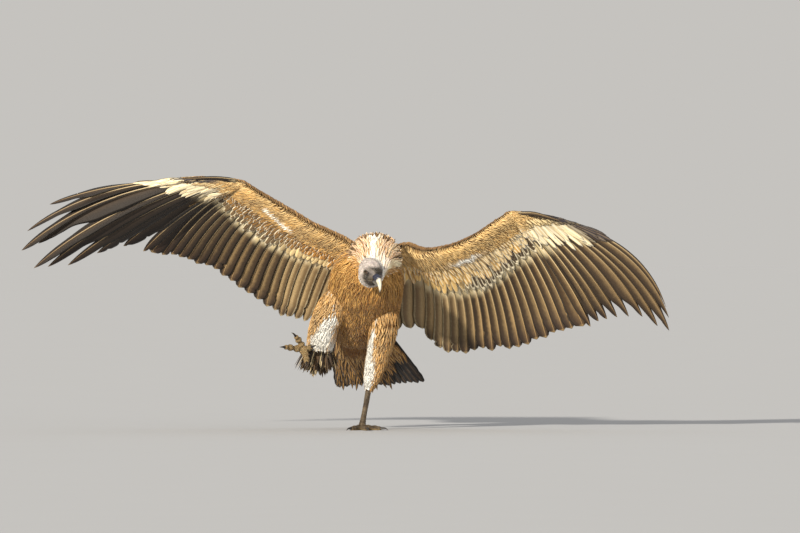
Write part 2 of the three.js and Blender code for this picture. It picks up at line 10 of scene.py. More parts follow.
import bpy
import numpy as np
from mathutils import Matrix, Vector


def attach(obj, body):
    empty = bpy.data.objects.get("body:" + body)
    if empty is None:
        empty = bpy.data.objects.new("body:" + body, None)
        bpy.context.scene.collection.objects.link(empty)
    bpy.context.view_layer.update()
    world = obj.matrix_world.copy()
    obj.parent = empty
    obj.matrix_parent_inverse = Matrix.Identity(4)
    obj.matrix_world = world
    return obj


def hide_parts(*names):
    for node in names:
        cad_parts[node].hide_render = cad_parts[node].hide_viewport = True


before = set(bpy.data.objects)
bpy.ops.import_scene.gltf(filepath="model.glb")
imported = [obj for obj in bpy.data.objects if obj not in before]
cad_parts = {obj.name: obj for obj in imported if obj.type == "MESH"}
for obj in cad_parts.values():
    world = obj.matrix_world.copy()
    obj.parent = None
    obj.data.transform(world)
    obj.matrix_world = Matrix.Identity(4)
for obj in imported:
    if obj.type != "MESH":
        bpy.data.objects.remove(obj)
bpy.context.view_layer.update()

MM = 0.001
HOME = np.array((-2.685, 9.744, 0.0))
TURN = 2 * np.pi
chance = np.random.default_rng(11)


# ---------------------------------------------------------------- arithmetic on whole arrays
def unit(v):
    """Vectors scaled to length 1."""
    return v / np.maximum(np.linalg.norm(v, axis=-1, keepdims=True), 1e-9)


def along(a, b):
    """Dot product, kept as a last axis of length 1."""
    return np.sum(a * b, axis=-1, keepdims=True)


def lerp(a, b, t):
    """a where t is 0, b where it is 1, and in line with them elsewhere."""
    return a + (b - a) * t


def smooth(low, high, x):
    """0 below low, 1 above high and an S-shaped rise between."""
    t = np.clip((np.asarray(x, float) - low) / (high - low), 0, 1)
    return t * t * (3 - 2 * t)


def bell(x, middle, spread):
    """1 at the middle, and e to the minus square of the distance from it over the spread."""
    return np.exp(-(((x - middle) / spread) ** 2))


def ink(red, green, blue):
    """A colour from its 0 to 255 display values to the linear values that shaders take."""
    c = np.array((red, green, blue)) / 255
    return np.where(c > 0.04045, ((c + 0.055) / 1.055) ** 2.4, c / 12.92)


def blend_ink(a, b, t):
    """Mixes two colours, or arrays of colours, by an array of shares."""
    return lerp(np.asarray(a), np.asarray(b), np.asarray(t)[..., None])


def mottle(p, size, seed):
    """Soft noise from about -1 to 1: the mean of seven sine waves in random directions."""
    waves = np.random.default_rng(seed)
    rays = waves.normal(size=(7, 3)) / size
    phases = waves.uniform(0, TURN, 7)
    return np.sin(np.asarray(p) @ rays.T + phases).mean(axis=-1) * 2.2


def spline(points):
    """Centripetal Catmull-Rom curve through the points, as a function of u from 0 to 1; it runs on
    straight past its ends."""
    p = np.asarray(points, float)
    ends = np.vstack((2 * p[0] - p[1], p, 2 * p[-1] - p[-2]))
    spans = len(p) - 1

    def inside(u):
        spot = np.clip(u, 0, 1) * spans
        i = np.minimum(spot.astype(int), spans - 1)
        w = (spot - i)[..., None]
        p0, p1, p2, p3 = (ends[i + k] for k in range(4))
        pairs = ((p0, p1), (p1, p2), (p2, p3))
        d0, d1, d2 = (np.maximum(along(b - a, b - a), 1e-8) ** 0.25 for a, b in pairs)
        m1 = ((p1 - p0) / d0 - (p2 - p0) / (d0 + d1) + (p2 - p1) / d1) * d1
        m2 = ((p2 - p1) / d1 - (p3 - p1) / (d1 + d2) + (p3 - p2) / d2) * d1
        return p1 + m1 * w + (3 * (p2 - p1) - 2 * m1 - m2) * w**2 + (2 * (p1 - p2) + m1 + m2) * w**3

    first, last = (inside(np.array(u + 1e-3)) - inside(np.array(u)) for u in (0.0, 0.999))

    def at(u):
        u = np.asarray(u, float)
        before, after = np.minimum(u, 0)[..., None], np.maximum(u - 1, 0)[..., None]
        return inside(u) + before * first * 1e3 + after * last * 1e3

    return at


def heading(curve, u):
    """The way a curve runs at u."""
    return unit(curve(np.asarray(u) + 1e-3) - curve(np.asarray(u) - 1e-3))


def stops(table, column=1):
    """Smooth curve through a table of (place, value, ...) rows, flat past both ends."""
    x, y = np.array([row[0] for row in table], float), np.array([row[column] for row in table], float)
    slope = np.gradient(y, x)

    def at(u):
        u = np.clip(u, x[0], x[-1])
        i = np.clip(np.searchsorted(x, u) - 1, 0, len(x) - 2)
        h = x[i + 1] - x[i]
        w = (u - x[i]) / h
        bend = (1 - w) * (slope[i] * h - (y[i + 1] - y[i])) + w * (y[i + 1] - y[i] - slope[i + 1] * h)
        return lerp(y[i], y[i + 1], w) + w * (1 - w) * bend

    return at


# ---------------------------------------------------------------- driving dimensions
TRUNK_SPINE = [[95, -125, 596], [80, -85, 545], [66, -10, 450], [64, 78, 366], [74, 150, 300]]
TRUNK_WIDTH = [[0, 62], [0.14, 98], [0.34, 124], [0.55, 122], [0.76, 112], [0.92, 104], [1, 84]]
TRUNK_DEPTH = [[0, 52], [0.14, 88], [0.34, 112], [0.55, 106], [0.76, 84], [0.92, 58], [1, 30]]
NECK_SPINE = [
    [99, -88, 590], [98, -140, 586], [94, -195, 556], [89, -245, 532], [86, -285, 533], [82, -306, 548],
]
NECK_RADIUS = [[0, 48], [0.3, 44], [0.75, 41], [1, 33]]
HEAD_CENTRE = np.array((89.0, -320.0, 551.0))
HEAD_YAW, HEAD_PITCH = np.radians(24), np.radians(30)
HEAD_SECTIONS = [
    [-44, 11, 11, 0], [-36, 26, 26, -1], [-18, 38, 38, -4], [0, 41, 41.5, -6.5],
    [18, 37, 41, -9], [32, 27, 35, -11], [44, 18, 25, -9], [50, 14, 18, -6],
]
UPPER_BILL = [
    [46, 13, 11, 1], [58, 12.5, 12, 3], [70, 11, 12.5, 2.5], [80, 9, 11, -2],
    [90, 6.5, 8, -10], [97, 4, 5, -20], [99, 1.4, 1.6, -30],
]
LOWER_BILL = [
    [46, 11.5, 5.5, -17], [58, 10.5, 5, -16.5], [70, 9, 4.5, -16],
    [80, 6.5, 3.5, -15.5], [88, 2.5, 1.5, -14.5],
]
EYE_PLACE, EYE_RADIUS = (25, 23.5, 4), 8.0
RUFF_CENTRE, RUFF_RADIUS, RUFF_THROAT = np.array((101.0, -150.0, 590.0)), 92.0, 38.0
RUFF_UPPER_SHARE, RUFF_LOWER_SHARE = 0.92, 0.6
RUFF_REACH, RUFF_SAG, RUFF_RIM, RUFF_BACK = 72.0, 44.0, 6.0, 42.0
TAIL_BASE = np.array((64.0, 150.0, 300.0))
TAIL_AXIS, TAIL_SIDE = np.array((0.266, 0.76, -0.593)), np.array((0.964, -0.265, 0.043))
TAIL_LENGTH, TAIL_BASE_HALF, TAIL_TIP_HALF, TAIL_ROUNDING, TAIL_ARCH = 281.0, 110.0, 164.0, 0.17, 22.0
RECTRICES = 14
SECONDARIES, TERTIALS, PRIMARIES = 18, 6, 10
ARM_SHARE, HAND_SHARE, CAMBER = 0.42, 0.2, 0.07
WINGS = {
    "right": {
        "arm": [
            [50, -50, 606], [10, -62, 640], [-48, -75, 671], [-112, -88, 700],
            [-177, -98, 739], [-248, -106, 781], [-300, -110, 814], [-347, -112, 846],
        ],
        "hand": [[-347, -112, 846], [-395, -112, 858], [-476, -108, 858], [-551, -98, 849]],
        "arm_tips": [
            [-30, 130, 395], [-105, 185, 372], [-178, 205, 364], [-250, 215, 398],
            [-360, 200, 468], [-455, 180, 540], [-560, 150, 576], [-655, 120, 602],
        ],
        "hand_tips": [
            [-690, 110, 608], [-757, 92, 626], [-847, 72, 602], [-946, 55, 561], [-1014, 40, 556],
            [-1061, 28, 552], [-1046, 22, 636], [-1103, 20, 612], [-1084, 30, 678], [-1008, 48, 769],
        ],
        "bow": [10, 14, 20, 30, 38, 42, 48, 52, 46, 22],
        "alula": [[-372, -126, 856], [-440, -122, 862], [-570, -100, 856]],
    },
    "left": {
        "arm": [
            [150, -50, 598], [200, -62, 628], [258, -72, 612], [318, -82, 617],
            [384, -92, 636], [450, -98, 670], [508, -100, 711], [561, -98, 747],
        ],
        "hand": [[561, -98, 747], [612, -84, 745], [665, -56, 733], [720, -15, 714]],
        "arm_tips": [
            [110, 124, 370], [190, 160, 336], [266, 176, 326], [324, 180, 266], [402, 176, 254],
            [482, 168, 264], [562, 152, 272], [646, 128, 293], [728, 98, 321], [808, 68, 342],
        ],
        "hand_tips": [
            [836, 58, 352], [864, 66, 370], [893, 80, 377], [928, 98, 383], [968, 118, 385],
            [1015, 140, 384], [1067, 165, 352], [1107, 186, 336], [1106, 180, 380], [1096, 168, 416],
        ],
        "bow": [12, 16, 20, 26, 34, 42, 50, 60, 68, 66],
        "alula": [[588, -106, 742], [640, -90, 741], [732, -38, 714]],
    },
}
LEGS = {
    "left": {
        "thigh": [
            [108, 0, 432], [131, -36, 368], [121, -14, 296], [104, 10, 224], [88, 28, 166], [81, 33, 136],
        ],
        "width": [[0, 46], [0.2, 52], [0.42, 43], [0.64, 35], [0.84, 24], [1, 13]],
        "depth": [[0, 50], [0.2, 60], [0.42, 50], [0.64, 38], [0.84, 26], [1, 13]],
        "ankle": (82, 33, 152), "foot": (57, 8, 9), "sole": (0, 0, -1), "standing": True,
        "toes": {
            "inner": ((-0.6, -0.8, 0), 66, 0.1), "middle": ((0.2, -0.98, 0), 98, 0.06),
            "outer": ((0.93, -0.36, 0), 74, 0.08), "hind": ((-0.3, 0.95, 0), 44, 0.1),
        },
    },
    "right": {
        "thigh": [
            [28, -10, 474], [-34, -48, 424], [-66, -26, 370], [-82, 6, 308], [-92, 28, 252], [-108, 42, 198],
        ],
        "width": [[0, 46], [0.2, 54], [0.42, 50], [0.64, 47], [0.84, 38], [1, 10]],
        "depth": [[0, 50], [0.2, 60], [0.42, 52], [0.64, 42], [0.84, 26], [1, 8]],
        "ankle": (-104, 48, 280), "foot": (-140, -66, 274), "sole": (-0.25, -0.96, -0.05), "standing": False,
        "toes": {
            "inner": ((0.35, -0.35, -0.9), 58, 1.1), "middle": ((-0.95, -0.1, 0.22), 76, 1.25),
            "outer": ((-0.4, -0.05, 0.9), 64, 0.95), "hind": ((0.92, 0.1, 0.35), 36, 0.8),
        },
    },
}
TARSUS_RADIUS, PAD_RADIUS, TOE_RADIUS, TOE_TAPER, CLAW_LENGTH = 8.5, 17.0, 10.0, 0.76, 27.0
TOE_TIP_HEIGHT = 5.2

# How deep the skin lies under the tips of the coat.
TRUNK_COAT, NECK_COAT, HEAD_COAT, THIGH_COAT, WING_COAT = 11.0, 4.0, 1.0, 8.0, 4.0
HEAD_TUFTS = 7000

# ---------------------------------------------------------------- colours of the plumage
GOLD, TAWNY, RUST = ink(200, 142, 62), ink(214, 162, 86), ink(146, 94, 38)
CREAM, WHITE, BUFF = ink(240, 219, 170), ink(253, 250, 241), ink(226, 186, 118)
UMBER, SOOT, SLATE = ink(78, 52, 30), ink(36, 29, 26), ink(58, 53, 58)
DRAB, FAWN = ink(110, 94, 78), ink(158, 136, 108)

# ---------------------------------------------------------------- surfaces that feathers lie on
# A sheet's lines have LINE_STEPS points. The cloth over them has one every CLOTH_PACE as far back as
# CLOTH_REACH, and EARLY more ahead of the leading edge. NOSE is the depth of the edge's round.
ARM_QUILLS = TERTIALS + SECONDARIES
QUILLS = ARM_QUILLS + PRIMARIES
LINE_STEPS = 60
CLOTH_PACE, CLOTH_REACH, EARLY = 6.0, 290.0, 2
ARM_BOW, HAND_BOW = (4.0, 27.0), 22.0
NOSE, FLESH_CHORD = 11.0, 104.0


class Tube:
    """Round body along a path: at u and an angle, the path's point plus sideways times cos(angle)
    times the half width plus across times sin(angle) times the half depth."""

    def __init__(self, path, width, depth, shrink=0.0, side=(1, 0, 0)):
        self.path, self.width, self.depth = spline(path), stops(width), stops(depth)
        self.shrink, self.side = shrink, np.array(side, float)

    def point(self, u, angle):
        u = np.asarray(u, float)
        ahead = heading(self.path, u)
        sideways = unit(self.side - ahead * along(self.side, ahead))
        across = np.cross(ahead, sideways)
        wide = (self.width(u) - self.shrink) * np.cos(angle)
        deep = (self.depth(u) - self.shrink) * np.sin(angle)
        return self.path(u) + sideways * wide[..., None] + across * deep[..., None]

    def out(self, u, angle):
        return self.point(u, angle) - self.path(u)


class Wing:
    """Half of a wing: chordwise lines run from its leading edge to the tips of its feathers, and bulge
    towards the upper side by CAMBER times the chord times 4s(1 - s) at the share s of the chord."""

    def __init__(self, lead, tips):
        self.lead, self.tips = spline(lead), spline(tips)

    def upper(self, q):
        n = unit(np.cross(heading(self.lead, q), self.tips(q) - self.lead(q)))
        return n * np.where(n[..., 1:2] < 0, -1, 1)

    def at(self, q, share):
        front = self.lead(q)
        chord = self.tips(q) - front
        share = np.asarray(share)[..., None]
        rise = CAMBER * np.linalg.norm(chord, axis=-1, keepdims=True) * 4 * share * (1 - share)
        return front + chord * share + self.upper(q) * rise


def woven(grid, i, j):
    """Catmull-Rom blend of a grid of vectors at fractional places, both ways."""

    def taps(x, count):
        at = np.clip(np.floor(x).astype(int), 0, count - 2)
        w = (x - at)[..., None]
        inner = (2 - 5 * w**2 + 3 * w**3) / 2, (w + 4 * w**2 - 3 * w**3) / 2
        shares = ((2 * w**2 - w - w**3) / 2, *inner, (w**3 - w**2) / 2)
        return [(np.clip(at + k - 1, 0, count - 1), share) for k, share in enumerate(shares)]

    down, across = taps(np.asarray(i, float), grid.shape[0]), taps(np.asarray(j, float), grid.shape[1])
    return sum(grid[row, column] * (a * b) for row, a in down for column, b in across)


def padded(grid):
    """A grid with one more row before its first and after its last, in line with them."""
    return np.concatenate((2 * grid[:1] - grid[1:2], grid, 2 * grid[-1:] - grid[-2:-1]))


ARM = {side: Wing(wing["arm"], wing["arm_tips"]) for side, wing in WINGS.items()}
HAND = {side: Wing(wing["hand"], wing["hand_tips"]) for side, wing in WINGS.items()}


class Sheet:
    """A whole wing as a sheet of lines, one for every flight feather from the leading edge to its
    tip. A line of the arm is a chord that bows outwards by 4t(1 - t); one of the hand is an arc."""

    def __init__(self, side):
        self.side, self.outward = side, 1.0 if side == "left" else -1.0
        t = np.linspace(0, 1, LINE_STEPS)
        q = ((np.arange(ARM_QUILLS) + 0.5) / ARM_QUILLS)[:, None] + 0 * t
        share = t + 0 * q
        arm = ARM[side].at(q, share)
        chord = unit(arm[:, -1:] - arm[:, :1])
        lead_way = heading(ARM[side].lead, q[:, :1])
        outward = unit(lead_way - chord * along(lead_way, chord))
        bow = lerp(*ARM_BOW, smooth(0, 12, np.arange(ARM_QUILLS)))[:, None, None]
        arm = arm + outward * bow * (4 * share * (1 - share))[..., None]
        self.lines = padded(np.concatenate((arm, self.hand_lines(t))))
        steps = np.linalg.norm(np.diff(self.lines, axis=1), axis=-1)
        run = np.concatenate((np.zeros((len(steps), 1)), np.cumsum(steps, axis=1)), axis=1)
        self.length = run[:, -1]
        marks = np.arange(0, CLOTH_REACH, CLOTH_PACE)
        even = lambda r, line: np.stack([np.interp(marks, r, line[:, k]) for k in range(3)], axis=-1)
        self.cloth = np.stack([even(r, line) for r, line in zip(run, self.lines)])
        ahead = self.cloth[:, :1] - self.cloth[:, 1:2]
        early = [self.cloth[:, :1] + ahead * step for step in range(EARLY, 0, -1)]
        self.cloth = np.concatenate((*early, self.cloth), axis=1)
        rise = unit(np.cross(np.gradient(self.cloth, axis=0), np.gradient(self.cloth, axis=1)))
        self.rise = rise * np.where(rise[..., 1:2] < 0, -1, 1)

    def hand_lines(self, t):
        """A quadratic arc for each primary, from the hand to its tip, bowed towards the leading edge."""
        wing = WINGS[self.side]
        tips = np.array(wing["hand_tips"], float)
        root = HAND[self.side].lead(lerp(0.02, 0.98, np.arange(PRIMARIES) / (PRIMARIES - 1)))
        outward = np.array((np.sign(tips[0][0]), 0, 1.2))
        chord = tips - root
        bend = unit(outward - chord * along(chord, outward) / along(chord, chord))
        middle = root + chord * 0.55 + bend * 2 * np.maximum(np.array(wing["bow"], float), HAND_BOW)[:, None]
        t = t[None, :, None]
        return root[:, None] * (1 - t) ** 2 + middle[:, None] * 2 * t * (1 - t) + tips[:, None] * t**2

    def middle(self, u, v):
        """Point of the sheet, u millimetres along the line v."""
        return woven(self.cloth, v + 1, u / CLOTH_PACE + EARLY)

    def rise_at(self, u, v):
        return unit(woven(self.rise, v + 1, u / CLOTH_PACE + EARLY))

    def line(self, v, t):
        """Points of the lines v at shares t of their length."""
        return woven(self.lines, v + 1, t * (LINE_STEPS - 1))

    def spacing(self, v, t, behind=0.5, beyond=0.5):
        """How far apart two lines lie, square to them: one behind and one beyond the line v."""
        gap = self.line(v + beyond, t) - self.line(v - behind, t)
        way = unit(np.gradient(self.line(v, t), axis=1))
        return np.linalg.norm(gap - way * along(gap, way), axis=-1)

    def up(self, v, t):
        """The upper side's normal along the lines."""
        across = self.line(v + 0.5, t) - self.line(v - 0.5, t)
        n = unit(np.cross(across, np.gradient(self.line(v, t), axis=1)))
        return n * np.where(n[..., 1:2] < 0, -1, 1)


class SheetFace:
    """The upper (sign 1) or under (sign -1) face of a wing. u is in millimetres from the leading
    edge and v counts the flight feathers outwards. It swells where the arm lies, and has a round
    nose along the leading edge."""

    def __init__(self, sheet, sign):
        self.sheet, self.sign = sheet, sign
        self.swell = stops([[-1, 26], [23, 15], [26, 11], [QUILLS, 5]])
        self.fleshy = stops([[-1, ARM_SHARE], [21, ARM_SHARE], [27, HAND_SHARE], [QUILLS, HAND_SHARE]])

    def half(self, u, v):
        length = np.interp(v, np.arange(-1, QUILLS + 1), self.sheet.length)
        share = u / length / self.fleshy(v)
        thick = 3.0 + self.swell(v) * np.sin(np.pi * 0.9 * np.sqrt(np.clip(share, 0, 1)) + 0.2)
        nose = np.sqrt(1 - (1 - np.clip(u / NOSE, 0, 1)) ** 2 + 1e-6)
        return lerp(thick, 2.6, smooth(0.85, 1.4, share)) * nose

    def point(self, u, v):
        u, v = np.broadcast_arrays(np.asarray(u, float), v)
        return self.sheet.middle(u, v) + self.sheet.rise_at(u, v) * (self.sign * self.half(u, v))[..., None]

    def out(self, u, v):
        return self.sign * self.sheet.rise_at(*np.broadcast_arrays(np.asarray(u, float), v))


SHEETS = {side: Sheet(side) for side in WINGS}


class TailSide:
    """The fan of the tail: u runs from its root to its tips and v from edge to edge, -1 to 1."""

    def __init__(self, sign):
        self.sign, self.upper = sign, unit(np.cross(TAIL_SIDE, TAIL_AXIS))

    def point(self, u, v):
        u, v = np.broadcast_arrays(np.asarray(u, float), v)
        reach = TAIL_LENGTH * (1 - TAIL_ROUNDING * v**2) * u
        spread = v * lerp(TAIL_BASE_HALF * 0.92, TAIL_TIP_HALF, u)
        thick = self.sign * lerp(20, 2, np.clip(u * 1.6, 0, 1)) * np.sqrt(np.clip(1.1 - v**2, 0.1, 1))
        rise = thick - TAIL_ARCH * v**2 * u
        flat = TAIL_BASE + TAIL_AXIS * reach[..., None] + TAIL_SIDE * spread[..., None]
        return flat + self.upper * rise[..., None]

    def out(self, u, v):
        return self.sign * np.broadcast_to(self.upper, np.shape(u) + (3,))


class RuffSide:
    """A face of the ruff: u runs from the throat to the rim and v is the angle round the neck, 0
    towards +x and a quarter turn at the top. The front (face 1) is a funnel that starts behind the
    head, sunk with the neck there, and opens backwards; the back (face -1) is a saucer."""

    def __init__(self, face, behind=0.0):
        self.face, self.behind = face, behind

    def point(self, u, v):
        u, v = np.broadcast_arrays(np.asarray(u, float), v)
        radius = lerp(RUFF_THROAT, RUFF_RADIUS, u)
        flat = np.where(np.sin(v) > 0, RUFF_UPPER_SHARE, RUFF_LOWER_SHARE)
        share = lerp(1, flat, np.clip(u, 0, 1) * abs(np.sin(v)))
        funnel = lerp(-RUFF_REACH, RUFF_RIM, u)
        saucer = lerp(RUFF_BACK, RUFF_RIM + 5, np.clip(u, 0, 1) ** 2)
        depth = (funnel if self.face > 0 else saucer) + self.behind
        sag = RUFF_SAG * (np.maximum(0, -depth) / RUFF_REACH) ** 2 * (1 - np.clip(u, 0, 1))
        return RUFF_CENTRE + np.stack((radius * np.cos(v), depth, radius * np.sin(v) * share - sag), axis=-1)

    def out(self, u, v):
        round_ = np.stack((np.cos(v), 0 * v, np.sin(v)), axis=-1) * 0.6
        return round_ + np.array((0.0, -self.face, 0.0))


def normal(surface, u, v):
    """Outward normal, from the cross product of the two small steps along the surface."""
    d = 2e-3
    step_u = surface.point(u + d, v) - surface.point(u - d, v)
    step_v = surface.point(u, v + d) - surface.point(u, v - d)
    n = unit(np.cross(step_u, step_v))
    return n * np.where(along(n, surface.out(u, v)) < 0, -1, 1)


def rows(surface, u_range, v_range, row_gap, gap, jitter=0.25):
    """Roots in rows across the way the feathers lie, a row every row_gap and a root every gap along
    it, each row half a gap out of step with the last. Returns u, v and their places on the unwrap."""
    (u0, u1), (v0, v1) = u_range, v_range
    fine_u, fine_v = np.linspace(u0, u1, 80), np.linspace(v0, v1, 120)
    spine = surface.point(fine_u, np.full(80, (v0 + v1) / 2))
    run = np.concatenate(((0,), np.cumsum(np.linalg.norm(np.diff(spine, axis=0), axis=1))))
    us, vs = [], []
    for k, row in enumerate(np.interp(np.arange(row_gap / 2, run[-1], row_gap), run, fine_u)):
        line = surface.point(np.full(120, row), fine_v)
        reach = np.concatenate(((0,), np.cumsum(np.linalg.norm(np.diff(line, axis=0), axis=1))))
        count = max(3, int(reach[-1] / gap))
        spots = (np.arange(count) + 0.25 + 0.5 * (k % 2)) / count
        spots = spots + chance.uniform(-jitter, jitter, count) / count
        vs.append(np.interp(np.clip(spots, 0, 1) * reach[-1], reach, fine_v))
        us.append(row + chance.uniform(-jitter, jitter, count) * (u1 - u0) * row_gap / run[-1])
    u, v = np.concatenate(us), np.concatenate(vs)
    return u, v, np.stack(((v - v0) / (v1 - v0), (u - u0) / (u1 - u0)), axis=-1)


def lay(surface, u, v, length, steps=6, sink=4.0, lift=3.0, slant=0.0, wave=0.0, end=np.inf):
    """Centre lines of feathers that follow a surface from (u, v) for their length, but not past u =
    end, starting sink below it and ending lift above it, drifting sideways by slant times their
    length and swaying by up to wave millimetres."""
    d = 2e-3
    pace_u = np.linalg.norm(surface.point(u + d, v) - surface.point(u - d, v), axis=-1) / (2 * d)
    pace_v = np.linalg.norm(surface.point(u, v + d) - surface.point(u, v - d), axis=-1) / (2 * d)
    t = np.linspace(0, 1, steps)
    us = u[:, None] + t * np.minimum(length / pace_u, end - u)[:, None]
    sway = wave * (np.sin(t * 5 + chance.uniform(0, TURN, len(u))[:, None]) if wave else 0 * t)
    vs = v[:, None] + (t * (slant * length)[:, None] + sway) / pace_v[:, None]
    n = normal(surface, us, vs)
    height = lerp(-np.broadcast_to(sink, u.shape)[:, None], np.broadcast_to(lift, u.shape)[:, None], t)
    return surface.point(us, vs) + n * height[..., None], n


def hang(root, away, way, length, steps=7, sink=4.0, lift=6.0):
    """Centre lines that leave a surface at root and run straight along a way of their own, rising
    from sink below it to lift above it."""
    way = unit(way)
    n = unit(away - way * along(away, way))
    t = np.linspace(0, 1, steps)[None, :, None]
    line = root[:, None] + way[:, None] * length[:, None, None] * t + n[:, None] * lerp(-sink, lift, t**0.7)
    return line, np.repeat(n[:, None], steps, axis=1)


# ---------------------------------------------------------------- vanes and the meshes they make
def lanceolate(t, point=0.7):
    """Half width of a pointed feather as a share of its widest: a quick rise, then a long taper."""
    return np.clip(np.minimum(0.3 + t * 2.4, 1), 0, 1) * np.clip(1 - t**2.4, 0.0, 1) ** point


def rounded(t, blunt=4.0):
    """Half width of a broad feather with a round tip."""
    return np.clip(0.35 + t * 2.2, 0, 1) * np.clip(1 - t**blunt, 0.0, 1) ** 0.5


def look(count, web, streak, rim, streak_width=0.3, rim_width=0.15, root=1.0):
    """What a group of feathers shows: the colours of the web, of the streak along the shaft and of the rim,
    the two widths as shares of the half width, and how much painted shade there is at the root."""
    wide = lambda colour: np.broadcast_to(np.asarray(colour, float), (count, 3))
    one = lambda value: np.broadcast_to(np.asarray(value, float), (count,))
    marks = np.stack((one(streak_width), one(rim_width), chance.uniform(0, 1, count), one(root)), axis=-1)
    return {"web": wide(web), "streak": wide(streak), "rim": wide(rim), "marks": marks}


def tube_faces(count, steps, ring):
    """Corners and sizes of the faces of count closed tubes, each made of steps rings of ring points."""
    index = np.arange(count * steps * ring).reshape(count, steps, ring)
    after = np.roll(index, -1, axis=2)
    quads = np.stack((index[:, :-1], after[:, :-1], after[:, 1:], index[:, 1:]), axis=-1).reshape(-1, 4)
    caps = np.concatenate((index[:, 0, ::-1], index[:, -1]))
    sizes = np.concatenate((np.full(len(quads), 4), np.full(len(caps), ring)))
    return np.concatenate((quads.ravel(), caps.ravel())), sizes


def batch(points, s, corners, shown):
    """Closed feathers ready to be joined, from points by feather, step and place round the ring. s is
    how far across the feather each place of the ring is, and corners are a feather's two on the unwrap."""
    count, steps, ring = points.shape[:3]
    loops, sizes = tube_faces(count, steps, ring)
    local = np.stack(np.broadcast_arrays(s, np.linspace(0, 1, steps)[:, None]), axis=-1)
    low, high = (corners[:, k][:, None, None] for k in (0, 1))

    def spread(values):
        each = values if values.ndim == 4 else values.reshape(count, -1, 1, values.shape[-1])
        return np.broadcast_to(each, (count, steps, ring, each.shape[-1])).reshape(-1, each.shape[-1])

    return {
        "points": points.reshape(-1, 3),
        "loops": loops,
        "sizes": sizes,
        "Vane": spread(np.broadcast_to(local, (count, steps, ring, 2))),
        "OFBake": np.clip(lerp(low, high, local), 0, 1).reshape(-1, 2),
        "colours": {name: spread(shown[name]) for name in ("web", "streak", "rim", "marks")},
    }


def widths(shape, steps, half, count, least=0.8, more=0.4):
    """Half widths along each feather: the shape times half, times least plus up to more by chance."""
    return shape(np.linspace(0, 1, steps)) * (half * (least + more * chance.uniform(size=count)))[:, None]


def uneven(middle, depth, place, size, seed, spread):
    """Shares from 0 to 1 round the middle: soft patches by place, and chance from feather to feather."""
    return np.clip(middle + depth * mottle(place, size, seed) + chance.normal(0, spread, len(place)), 0, 1)


def vanes(line, up, half, shown, roots, columns=3, thick=0.5, droop=0.15, roll=0.0, patch=0.003):
    """Closed vanes, one to a centre line. Each section is a lens across the line, columns points on
    its upper face and two fewer below, and it droops at the edges by droop times its half width.
    roll tips it about the line. roots holds the places of the roots on the unwrap, each the middle
    of a square patch."""
    count = len(half)
    top = np.linspace(-1, 1, columns)
    across = np.concatenate((top, top[-2:0:-1]))
    level = np.concatenate((1 - top**2, -(1 - top[-2:0:-1] ** 2) * 0.5))
    tangent = unit(np.gradient(line, axis=1))
    side = unit(np.cross(tangent, up))
    upper = np.cross(side, tangent)
    width = np.maximum(half[..., None], 0.15)
    thickness = np.broadcast_to(thick, (count,))[:, None, None] * np.clip(half[..., None] / 2, 0.2, 1)
    tipped = np.broadcast_to(roll, (count,))[:, None, None]
    rise = level * thickness - droop * across**2 * width + tipped * across * width
    sideways = side[:, :, None] * (across * width)[..., None]
    points = line[:, :, None] + sideways + upper[:, :, None] * rise[..., None]
    return batch(points, (across + 1) / 2, np.stack((roots - patch / 2, roots + patch / 2), axis=1), shown)


def put_mesh(name, points, loops, sizes, uvs=None, colours=None):
    """One object at the origin, from points in working-frame millimetres and the corners of its faces."""
    mesh = bpy.data.meshes.new(name)
    mesh.vertices.add(len(points))
    mesh.vertices.foreach_set("co", ((points + HOME) * MM).astype(np.float32).ravel())
    mesh.loops.add(len(loops))
    mesh.loops.foreach_set("vertex_index", loops.astype(np.int32))
    mesh.polygons.add(len(sizes))
    mesh.polygons.foreach_set("loop_start", np.concatenate(((0,), np.cumsum(sizes)[:-1])).astype(np.int32))
    mesh.update(calc_edges=True)
    for layer, values in (uvs or {}).items():
        mesh.uv_layers.new(name=layer).data.foreach_set("uv", values[loops].astype(np.float32).ravel())
    for layer, values in (colours or {}).items():
        full = np.ones((len(points), 4), np.float32)
        full[:, : values.shape[1]] = values
        mesh.attributes.new(layer, "FLOAT_COLOR", "POINT").data.foreach_set("color", full.ravel())
    mesh.shade_smooth()
    piece = bpy.data.objects.new(name, mesh)
    bpy.context.scene.collection.objects.link(piece)
    return piece


def finished(piece, finish, slot, *nodes):
    """Gives a piece its finish, hides the parts of model.glb it stands for, and hangs it on the body. slot is
    not used.
    """
    piece.data.materials.clear()
    piece.data.materials.append(finish)
    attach(piece, "root")
    if nodes:
        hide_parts(*nodes)


def coat(name, batches, finish, slot, *nodes):
    """Joins batches of vanes into one piece."""
    starts = np.cumsum([0] + [len(b["points"]) for b in batches[:-1]])
    stack = lambda pick: np.concatenate([pick(b) for b in batches])
    piece = put_mesh(
        name,
        stack(lambda b: b["points"]),
        np.concatenate([b["loops"] + start for b, start in zip(batches, starts)]),
        stack(lambda b: b["sizes"]),
        {layer: stack(lambda b: b[layer]) for layer in ("Vane", "OFBake")},
        {layer: stack(lambda b: b["colours"][layer]) for layer in ("web", "streak", "rim", "marks")},
    )
    finished(piece, finish, slot, *nodes)


